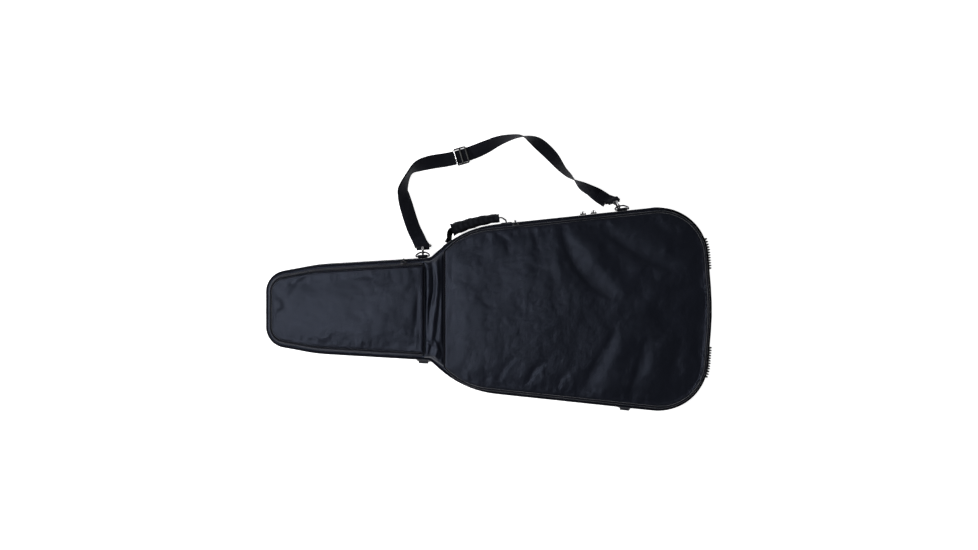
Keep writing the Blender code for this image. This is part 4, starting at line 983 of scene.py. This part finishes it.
# ---- Snap hooks -----------------------------------------------------------------------------------
HOOK_HOLE, HOOK_BEND, SHANK, EYE_WIRE = 0.0042, 0.0064, 0.0200, 0.0030
RING_CORNER_RADIUS, RING_SHARE = 0.007, 0.45  # the CAD ring's round corner, and the flat share of its round side


def hook_place(ring, twist):
    """Frame of a snap hook that hangs in a ring, turned by twist degrees in the ring's plane; z is its shank."""
    away = Vector((math.sin(math.radians(twist)), math.cos(math.radians(twist))))
    seat = Vector((0.0, RING_DEPTH))
    if twist:
        half_turn = 0.5 * math.atan2(RING_DEPTH * (1 - RING_SHARE) + RING_WIRE / 2,
                                     RING_WIDTH / 2 * (1 - RING_SHARE))
        reach = RING_WIDTH / 2 * RING_SHARE - RING_CORNER_RADIUS * math.tan(half_turn)
        centre = Vector((math.copysign(reach, twist), RING_DEPTH + RING_WIRE / 2 - RING_CORNER_RADIUS))
        seat = centre + away * (RING_CORNER_RADIUS - RING_WIRE / 2)
    seat += away * (HOOK_HOLE - RING_WIRE / 2 - 3 * GAP)
    return ring @ place_of((-away.y, 0.0, away.x, seat.x), (away.x, 0.0, away.y, seat.y),
                           (0.0, 1.0, 0.0, 0.0))


HOOKS = {"neck": hook_place(rings["neck_strap"], 0), "body": hook_place(rings["body_strap"], -22)}
COLLAR = ((0.0100, 0.0028), (0.0104, 0.0034), (0.0118, 0.0034), (0.0122, 0.0026), (0.0128, 0.0026),
          (0.0134, 0.0034),
          (0.0140, 0.0037), (0.0168, 0.0037), (0.0176, 0.0030), (0.0190, 0.0030), (0.0199, 0.0022))
for label, place in HOOKS.items():
    body = label + "_hook"
    line = [(0.0, a, b) for a, b in arc((0, 0), HOOK_BEND, -22, -270, 26)]
    line += [(0.0, 0.0, z) for z in (0.0085, 0.0105)]
    radii = np.interp(np.arange(len(line)), [0, 3, 14], [0.0013, 0.0019, 0.0023])
    hook = Build()
    hook.tube(at(place, line), radii, 12)
    hook.tube(at(place, [(0.0, 0.0, z) for z, _ in COLLAR]), [radius for _, radius in COLLAR], 16)
    done(hook.make("hook_" + label + "_body", BLACK_METAL, 40), body, "black_metal", "hook_" + label)
    gate = Build()
    latch = [(0, 0.0061, 0.0034), (0, 0.0061, 0.0022), (0, 0.0062, 0.0004), (0, 0.0061, -0.0014)]
    gate.tube(at(place, latch), [0.0010, 0.0014, 0.0013, 0.0009], 10)
    lever = [(0, 0.0061, 0.0024), (0, 0.0082, 0.0042), (0, 0.0100, 0.0068)]
    gate.tube(at(place, lever), [0.0012, 0.0011, 0.0009], 8, across=1.6)
    done(gate.make("hook_gate_" + label + "_latch", STEEL, 40), body + "_gate", "steel", "hook_gate_" + label)
    half, near, far = STRAP_WIDTH / 2 + 0.0025, SHANK + 0.0018, SHANK + 0.0093
    corners = [(-half, near, 0.003), (half, near, 0.003), (half, far, 0.003), (-half, far, 0.003)]
    eye = Build()
    eye.tube(at(place, [(x, 0.0, z) for x, z in rounded(corners)]), EYE_WIRE / 2, 10, closed=True)
    done(eye.make("strap_eye_" + label + "_wire", BLACK_METAL), body, "black_metal", "strap_eye_" + label)

# ---- Strap adjuster -------------------------------------------------------------------------------
ADJUSTER = Matrix.Translation((-0.0640, 0.3525, 0.0)) @ Matrix.Rotation(math.radians(16.5), 4, "Z")
ADJUSTER_HALF, ADJUSTER_REACH = STRAP_WIDTH / 2 + 0.0025, 0.0135
corners = [(-ADJUSTER_REACH, -ADJUSTER_HALF, 0.003), (ADJUSTER_REACH, -ADJUSTER_HALF, 0.003),
           (ADJUSTER_REACH, ADJUSTER_HALF, 0.003), (-ADJUSTER_REACH, ADJUSTER_HALF, 0.003)]


def adjuster_line(x, z, count):
    """Line across the webbing in the adjuster's frame."""
    return at(ADJUSTER, np.linspace((x, -ADJUSTER_HALF, z), (x, ADJUSTER_HALF, z), count))


bars = Build()
bars.tube(at(ADJUSTER, [(x, y, 0.0060) for x, y in rounded(corners)]), 0.0019, 10, closed=True)
bars.tube(adjuster_line(0.0, 0.0060, 5), 0.0022, 10)
for y in (-ADJUSTER_HALF, ADJUSTER_HALF):
    bars.tube(at(ADJUSTER, [(x, y, 0.0036) for x in (-0.0130, -0.006, 0.006, 0.0130)]), 0.0014, 8)
done(bars.make("adjuster_frame", BLACK_PLASTIC), "strap_adjuster", "black_plastic", "strap_adjuster")
plated = Build()
plated.tube(adjuster_line(-0.0137, 0.0078, 7), 0.0016, 10)
done(plated.make("adjuster_bar", STEEL), "strap_adjuster", "steel")

# Webbing that lies under the adjuster, between the two stretches
bridge = catmull([(-0.0885, 0.3462), (-0.0720, 0.3498), (-0.0560, 0.3546), (-0.0400, 0.3604)], 0.004)
heading = unit(np.gradient(bridge, axis=0))
across = np.column_stack([-heading[:, 1], heading[:, 0], np.zeros(len(bridge))])
bridge = np.column_stack([bridge, 0.0023 + 0.0009 * np.sin(np.linspace(0, math.pi, len(bridge)))])
under = Build()
webbing(under, bridge, across, np.tile(UP, (len(bridge), 1)), STRAP_WIDTH - 0.0006, 0.0036)
done(under.make("strap_bridge_web", WEBBING), "base", "webbing")


# ---- Strap ends round the hooks' eyes -------------------------------------------------------------
def strap_end(label, stations, across_strap):
    """Webbing folded round the far bar of a hook's eye and sewn onto the strap, whose stations start at its end."""
    first, second, last = stations
    place = HOOKS[label]
    bar = at(place, [(0.0, 0.0, SHANK + 0.0093)])[0]
    axis = np.array(place.col[0].xyz)
    axis *= math.copysign(1.0, float(axis @ across_strap))
    away = unit(last - bar - axis * float((last - bar) @ axis))
    over = np.cross(axis, away)
    over *= math.copysign(1.0, over[2])

    def turned(shares):
        """Directions across the band, from the strap's (share 0) to the bar's (share 1)."""
        shares = np.array(shares)[:, None]
        return across_strap * (1 - shares) + axis * shares

    def band(points, sides, width, ply):
        webbing(build, points, sides, unit(np.cross(np.gradient(points, axis=0), sides)), width, ply)

    build = Build()
    points = [last + UP * 0.0020, (second + last) / 2 + UP * 0.0024]
    points += [bar + 0.0034 * (away * math.cos(a) + over * math.sin(a)) for a in np.radians(np.linspace(70, 290, 12))]
    points += [first * 0.6 + bar * 0.4 - UP * 0.0018, first + UP * 0.0004]
    band(np.array(points), turned([0.0, 0.5] + [1.0] * 12 + [0.7, 0.3]), STRAP_WIDTH - 0.001, 0.0017)
    cover = catmull([last + UP * 0.0052, first + UP * 0.0085, bar + over * 0.0056,
                     bar - away * 0.006 + over * 0.0060,
                     bar - away * 0.0125 + over * 0.0048], 0.003)
    band(cover, unit(turned(np.linspace(0, 1, len(cover)))), STRAP_WIDTH - 0.002, 0.0016)
    fold = build.make("strap_end_" + label + "_web", WEBBING)
    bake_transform(fold)
    half = across_strap * 0.012
    spots = [last * (1 - back) + second * back + UP * 0.0026 for back in (0.15, 0.75)]
    sew("strap_end_" + label + "_thread", "base", "webbing",
        [np.linspace(spot - half, spot + half, 14) for spot in spots], 0.0032, 0.0022, 0.0005)


for label, line in (("neck", loop_line[[0, 2, 6]]), ("body", main_line[[-1, -3, -7]])):
    heading = line[-1] - line[0]
    strap_end(label, line, unit((-heading[1], heading[0], 0.0)))

# ---- Carry handle ---------------------------------------------------------------------------------
HANDLE_Z = 0.034
HANDLE_ROUTE = [(-0.0912, 0.1592), (-0.0900, 0.1720), (-0.0845, 0.1800), (-0.0698, 0.1855), (-0.0518, 0.1915),
                (-0.0338, 0.1968), (-0.0158, 0.2013), (0.0023, 0.2045), (0.0200, 0.2068), (0.0290, 0.2078),
                (0.0385, 0.2020)]


def sideways_of(line):
    """Directions to the left of a level line."""
    ahead = unit(np.gradient(line, axis=0))
    return np.column_stack([-ahead[:, 1], ahead[:, 0], np.zeros(len(line))])


def leaning(line, lean):
    """Across and normal of webbing that stands on edge along a level line, leaning by an angle per point."""
    left = sideways_of(line)
    lean = np.radians(lean)[:, None]
    return left * np.sin(lean) + UP * np.cos(lean), left * np.cos(lean) - UP * np.sin(lean)


handle_line = catmull([(*p, HANDLE_Z) for p in HANDLE_ROUTE], 0.003)
lean = np.interp(np.linspace(0, 1, len(handle_line)), (0, 0.12, 0.25, 0.9, 1), (26, 36, 0, 0, 0))
web = Build()
webbing(web, handle_line, *leaning(handle_line, lean), 0.022, 0.0024, columns=10)
done(web.make("handle_web", WEBBING), "carry_handle", "webbing", "handle_webbing")

# Padded grip: a rounded-square tube, thicker at its neck end, with a lip at both ends
GRIP_SIDES, GRIP_TALL, GRIP_WIDE, GRIP_NARROW = 28, 0.0142, 0.0136, 0.0092
grip_line = catmull([(*p, HANDLE_Z) for p in HANDLE_ROUTE[2:9] + [(0.0235, 0.2072)]], 0.002)
left = sideways_of(grip_line)
share = np.linspace(0, 1, len(grip_line))
lip = 1 + 0.10 * np.exp(-(np.minimum(share, 1 - share) / 0.02) ** 2)
grip_rows = []
for angle in 2 * math.pi * np.arange(GRIP_SIDES) / GRIP_SIDES:
    a, b = math.cos(angle), math.sin(angle)
    square = (abs(a) ** 3 + abs(b) ** 3) ** (-1 / 3) * lip
    wave = 0.0006 * np.sin(share * 26 + 4 * a) + 0.0005 * np.sin(share * 61 + 7 * b)
    wide = (GRIP_WIDE + share * (GRIP_NARROW - GRIP_WIDE)) * a * square + wave * a
    grip_rows.append(grip_line + left * wide[:, None] + UP * (GRIP_TALL * b * square + wave * b)[:, None])
grip_rows = np.array(grip_rows).transpose(1, 0, 2)
ahead = unit(np.gradient(grip_line, axis=0))
inner = [grip_line[k] + (grip_rows[k] - grip_line[k]) * 0.55 + ahead[k] * into for k,
         into in ((0, 0.004), (-1, -0.004))]
grip = Build()
grip.rows([inner[0], *grip_rows, inner[1]])
grip_cover = grip.make("handle_grip_cover", GRIP)
displace(grip_cover, lambda p, n: 0.0009 * fractal(p, (28, 28, 34), 3, 6.0))
done(grip_cover, "carry_handle", "webbing", "handle_grip")
sew("handle_grip_thread", "carry_handle", "webbing",
    [grip_rows[1:-1, GRIP_SIDES // 4 + row] + UP * 0.0004 for row in (-2, 2)], 0.0040, 0.0026, 0.0005)


def handle_anchor(label, x, sunk, end, inside, lean):
    """Patch on the wall with the leg of webbing that turns from it into the handle."""
    place = Matrix.Translation((0.0, -sunk, 0.0)) @ beside(WALL, x, 1, HANDLE_Z)
    line = at(place, np.linspace((-0.013, 0.0025, -0.002), (0.013, 0.0025, -0.002), 9))
    patch = Build()
    webbing(patch, line, np.tile(UP, (9, 1)), np.tile(place.col[1].xyz, (9, 1)), 0.020, 0.0018, columns=8)
    done(patch.make("handle_anchor_" + label + "_web", WEBBING), "base", "webbing", "handle_anchor_" + label)
    hinge = np.array((*HANDLE_ROUTE[end], HANDLE_Z))
    foot = at(place, [(0.0, 0.0040, 0.0)])[0]
    line = catmull([foot, foot * 0.45 + hinge * 0.55, hinge, handle_line[inside]], 0.002)
    if end:
        line = line[::-1]
    leg = Build()
    webbing(leg, line, *leaning(line, np.full(len(line), lean)), 0.021, 0.0030, columns=8)
    leg = leg.make("handle_leg_" + label + "_web", WEBBING)
    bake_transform(leg)
    half, low, high = 0.0105, -0.0105, 0.0065
    box = [(-half, 0.0036, low), (half, 0.0036, low), (half, 0.0036, high), (-half, 0.0036, high)]
    sides = [np.linspace(box[k], box[(k + 1) % 4], 8) for k in range(4)]
    cross = [np.linspace(box[k], box[k + 2 if k == 0 else 3], 9) for k in (0, 1)]
    sew("handle_anchor_" + label + "_thread", "base", "webbing", [at(place, line) for line in sides + cross],
        0.0026,
        0.0018, 0.0004)


handle_anchor("neck", -0.094, 0.001341, 0, 3, 30)
handle_anchor("body", 0.040, 0.0, -1, -4, 0)

# ---- Zip sliders and pulls ------------------------------------------------------------------------
BAIL_OUT = 0.0067


def strip(build, place, line, widths, thick):
    """Flat strip with soft edges whose middle line runs in a frame's y and z; its width runs along x."""
    line = np.array(line)
    ahead = unit(np.gradient(line, axis=0))
    corners = [(-1, -0.5), (-0.86, -1), (0.86, -1), (1, -0.5), (1, 0.5), (0.86, 1), (-0.86, 1), (-1, 0.5)]
    rows = []
    for (y, z), (dy, dz), width in zip(line, ahead * thick / 2, widths):
        rows.append(at(place, [(a * width / 2, y - dz * b, z + dy * b) for a, b in corners]))
    build.rows(rows, caps=True)


PLAN_LEFT = [(-0.0010, 0.0036, 0.004), (-0.0070, 0.0027, 0.001)]
PLAN_RIGHT = (0.0070, 0.0036, 0.0012)
PLAN = [(x, -z, radius) for x, z, radius in PLAN_LEFT[::-1] + [PLAN_RIGHT]] + [PLAN_RIGHT] + PLAN_LEFT
SLIDER_ROWS = ((0.0004, 0.97), (0.0008, 1.0), (0.0024, 1.0), (0.0029, 0.95), (0.0031, 0.86))  # (height, scale)


def zip_hardware(slider, puller, place, drop, tilt):
    """Slider with a wire bail and a pull that hangs from it."""
    plan = rounded(PLAN, arc_step=math.radians(20))
    metal = Build()
    metal.rows([at(place, [(x * k, y, z * k) for x, z in plan]) for y, k in SLIDER_ROWS], caps=True)
    foot = [(0.0050, 0.0024, 0), (0.0052, 0.0050, 0), (0.0040, BAIL_OUT, 0)]
    bail = [(-x, y, z) for x, y, z in foot] + [(0.0, BAIL_OUT + 0.0002, 0)] + foot[::-1]
    metal.tube(at(place, catmull(bail, 0.001)), 0.0006, 8)
    done(metal.make(slider + "_metal", BLACK_METAL, 35), slider, "black_metal", slider)
    bar = place @ Matrix.Translation((0.0, BAIL_OUT, 0.0)) @ Matrix.Rotation(math.radians(tilt), 4, "X")
    rest = -0.0012 if tilt else -0.0030
    line = arc((0, 0), 0.0012, 20, 200, 8)
    line += [(-0.0012, -0.0030), (rest * 0.7, -0.0062), (rest, -0.0095), (rest, -drop * 0.8), (rest, -drop)]
    tab = Build()
    strip(tab, bar, line, [0.0026] * 10 + [0.0034, 0.0050, 0.0052, 0.0036], 0.0009)
    done(tab.make(puller + "_metal", BLACK_METAL, 35), puller, "black_metal", puller)


SLIDER_OUT, PULL_DROP, POCKET_PULL_DROP, POCKET_PULL_TILT = 0.0014, 0.027, 0.0115, 40
for label, x in (("a", 0.214), ("b", 0.238)):
    zip_hardware("zip_slider_" + label, "zip_pull_" + label, beside(WALL, x, 1, ZIP, SLIDER_OUT), PULL_DROP,
                 0)
for label, outline, panel_inset, x in (("body", BODY_POCKET, BODY_PANEL_INSET, 0.060),
                                       ("neck", NECK_POCKET, NECK_PANEL_INSET, -0.190)):
    zip_hardware(label + "_pocket_slider", label + "_pocket_pull",
                 seam_place(outline, panel_inset, x, 1, SLIDER_OUT), POCKET_PULL_DROP, POCKET_PULL_TILT)

# ---- Skid guards: a ribbed strip on the base and its other half on the lid -------------------------
RIBS, RIB_POINTS, GUARD_LENGTH = 12, 8, 0.070
# Rows of (height, share of the ribs' depth)
BASE_LEVELS = ((0.0060, 0.0), (0.0064, 0.6), (0.0085, 0.95), (0.0150, 1.0), (0.0250, 1.0), (0.0350, 1.0),
               (0.0405, 0.95), (0.0425, 0.6), (0.0430, 0.0))
LID_LEVELS = ((0.0668, 0.0), (0.0672, 0.6), (0.0690, 0.95), (0.0760, 1.0), (0.0840, 1.0), (0.0872, 0.95),
              (0.0884, 0.6), (0.0888, 0.0))
right = CASE.at(0.0)
right = right[right[:, 0] > 0.3]
right = right[np.argsort(right[:, 1])]
phase = np.arange(RIBS * RIB_POINTS + 1) / RIB_POINTS
ribs = 0.0026 + 0.0066 * np.sqrt(0.5 - 0.5 * np.cos(2 * np.pi * phase)) + 0.0004 * np.sin(phase * 9.3)
for label, centre in (("near", 0.124), ("far", -0.119)):
    ys = centre + GUARD_LENGTH * (phase / RIBS - 0.5)
    xs = np.interp(ys, right[:, 1], right[:, 0])
    normal = unit(np.column_stack([np.gradient(ys), -np.gradient(xs)]))
    for name, body, levels, nodes in (("skid_guard_", "base", BASE_LEVELS, ("bumper_" + label,)),
                                      ("skid_guard_lid_", "lid", LID_LEVELS, ())):
        rows = []
        for z, depth in levels:
            flat = np.column_stack([xs, ys]) + normal * (0.0002 + ribs * depth - wall_inset(z))[:, None]
            rows.append(np.column_stack([flat, np.full(len(ys), z)]))
        guard = Build()
        guard.rows(rows, closed=False)
        done(guard.make(name + label, RUBBER, 50), body, "rubber", *nodes)

# ---- Retaining straps inside the base --------------------------------------------------------------
for label in ("body", "neck"):
    low, high = (np.array(corner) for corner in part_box("retaining_strap_" + label))
    width, ply = high[0] - low[0], high[2] - low[2]
    ys = np.linspace(low[1], high[1], round((high[1] - low[1]) / 0.003))
    slack = smooth_step(np.minimum(ys - low[1], high[1] - ys), 0.014, 0.040)
    rise = slack * (0.0016 + 0.0012 * np.sin(60 * ys + 1.2) + 0.0005 * np.sin(140 * ys))
    line = np.column_stack([(low[0] + high[0]) / 2 + 0.0010 * np.sin(26 * ys), ys,
                            (low[2] + high[2]) / 2 + rise])
    across, upward = np.tile((1.0, 0.0, 0.0), (len(ys), 1)), np.tile(UP, (len(ys), 1))
    strap = Build()
    webbing(strap, line, across, upward, width, ply)
    tongue = slice(len(ys) // 3, len(ys) * 5 // 6)  # the upper ply that closes onto the lower one
    webbing(strap, line[tongue], across[tongue], upward[tongue], width - 0.002, ply, ply + 0.0002)
    node = "retaining_strap_" + label
    done(strap.make(node + "_web", WEBBING), "base", "webbing", node)
    half, x, top = width / 2 - 0.003, line[0, 0], high[2] + 0.0001
    seams = []
    for near, far in ((low[1] + 0.003, low[1] + 0.013), (high[1] - 0.003, high[1] - 0.013)):
        box = [(x - half, near, top), (x + half, near, top), (x + half, far, top), (x - half, far, top)]
        box += [box[0], box[2]]
        seams += [np.linspace(a, b, 9) for a, b in zip(box, box[1:])]
    tip = line[tongue][0] + (0.0, 0.004, 1.5 * ply + 0.0004)
    seams.append(np.linspace(tip - (half, 0, 0), tip + (half, 0, 0), 9))
    sew(node + "_thread", "base", "webbing", seams, 0.0032, 0.0022, 0.0005)

# ---- Floor ----------------------------------------------------------------------------------------
FLOOR_HALF, FLOOR_Z = 30.0, -0.0004
floor_build = Build()
floor_build.rows([[(-FLOOR_HALF, y, FLOOR_Z), (FLOOR_HALF, y, FLOOR_Z)] for y in (-FLOOR_HALF, FLOOR_HALF)],
                 closed=False)
floor = floor_build.make("floor", FLOOR, outward=False)
floor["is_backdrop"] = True

low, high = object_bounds()
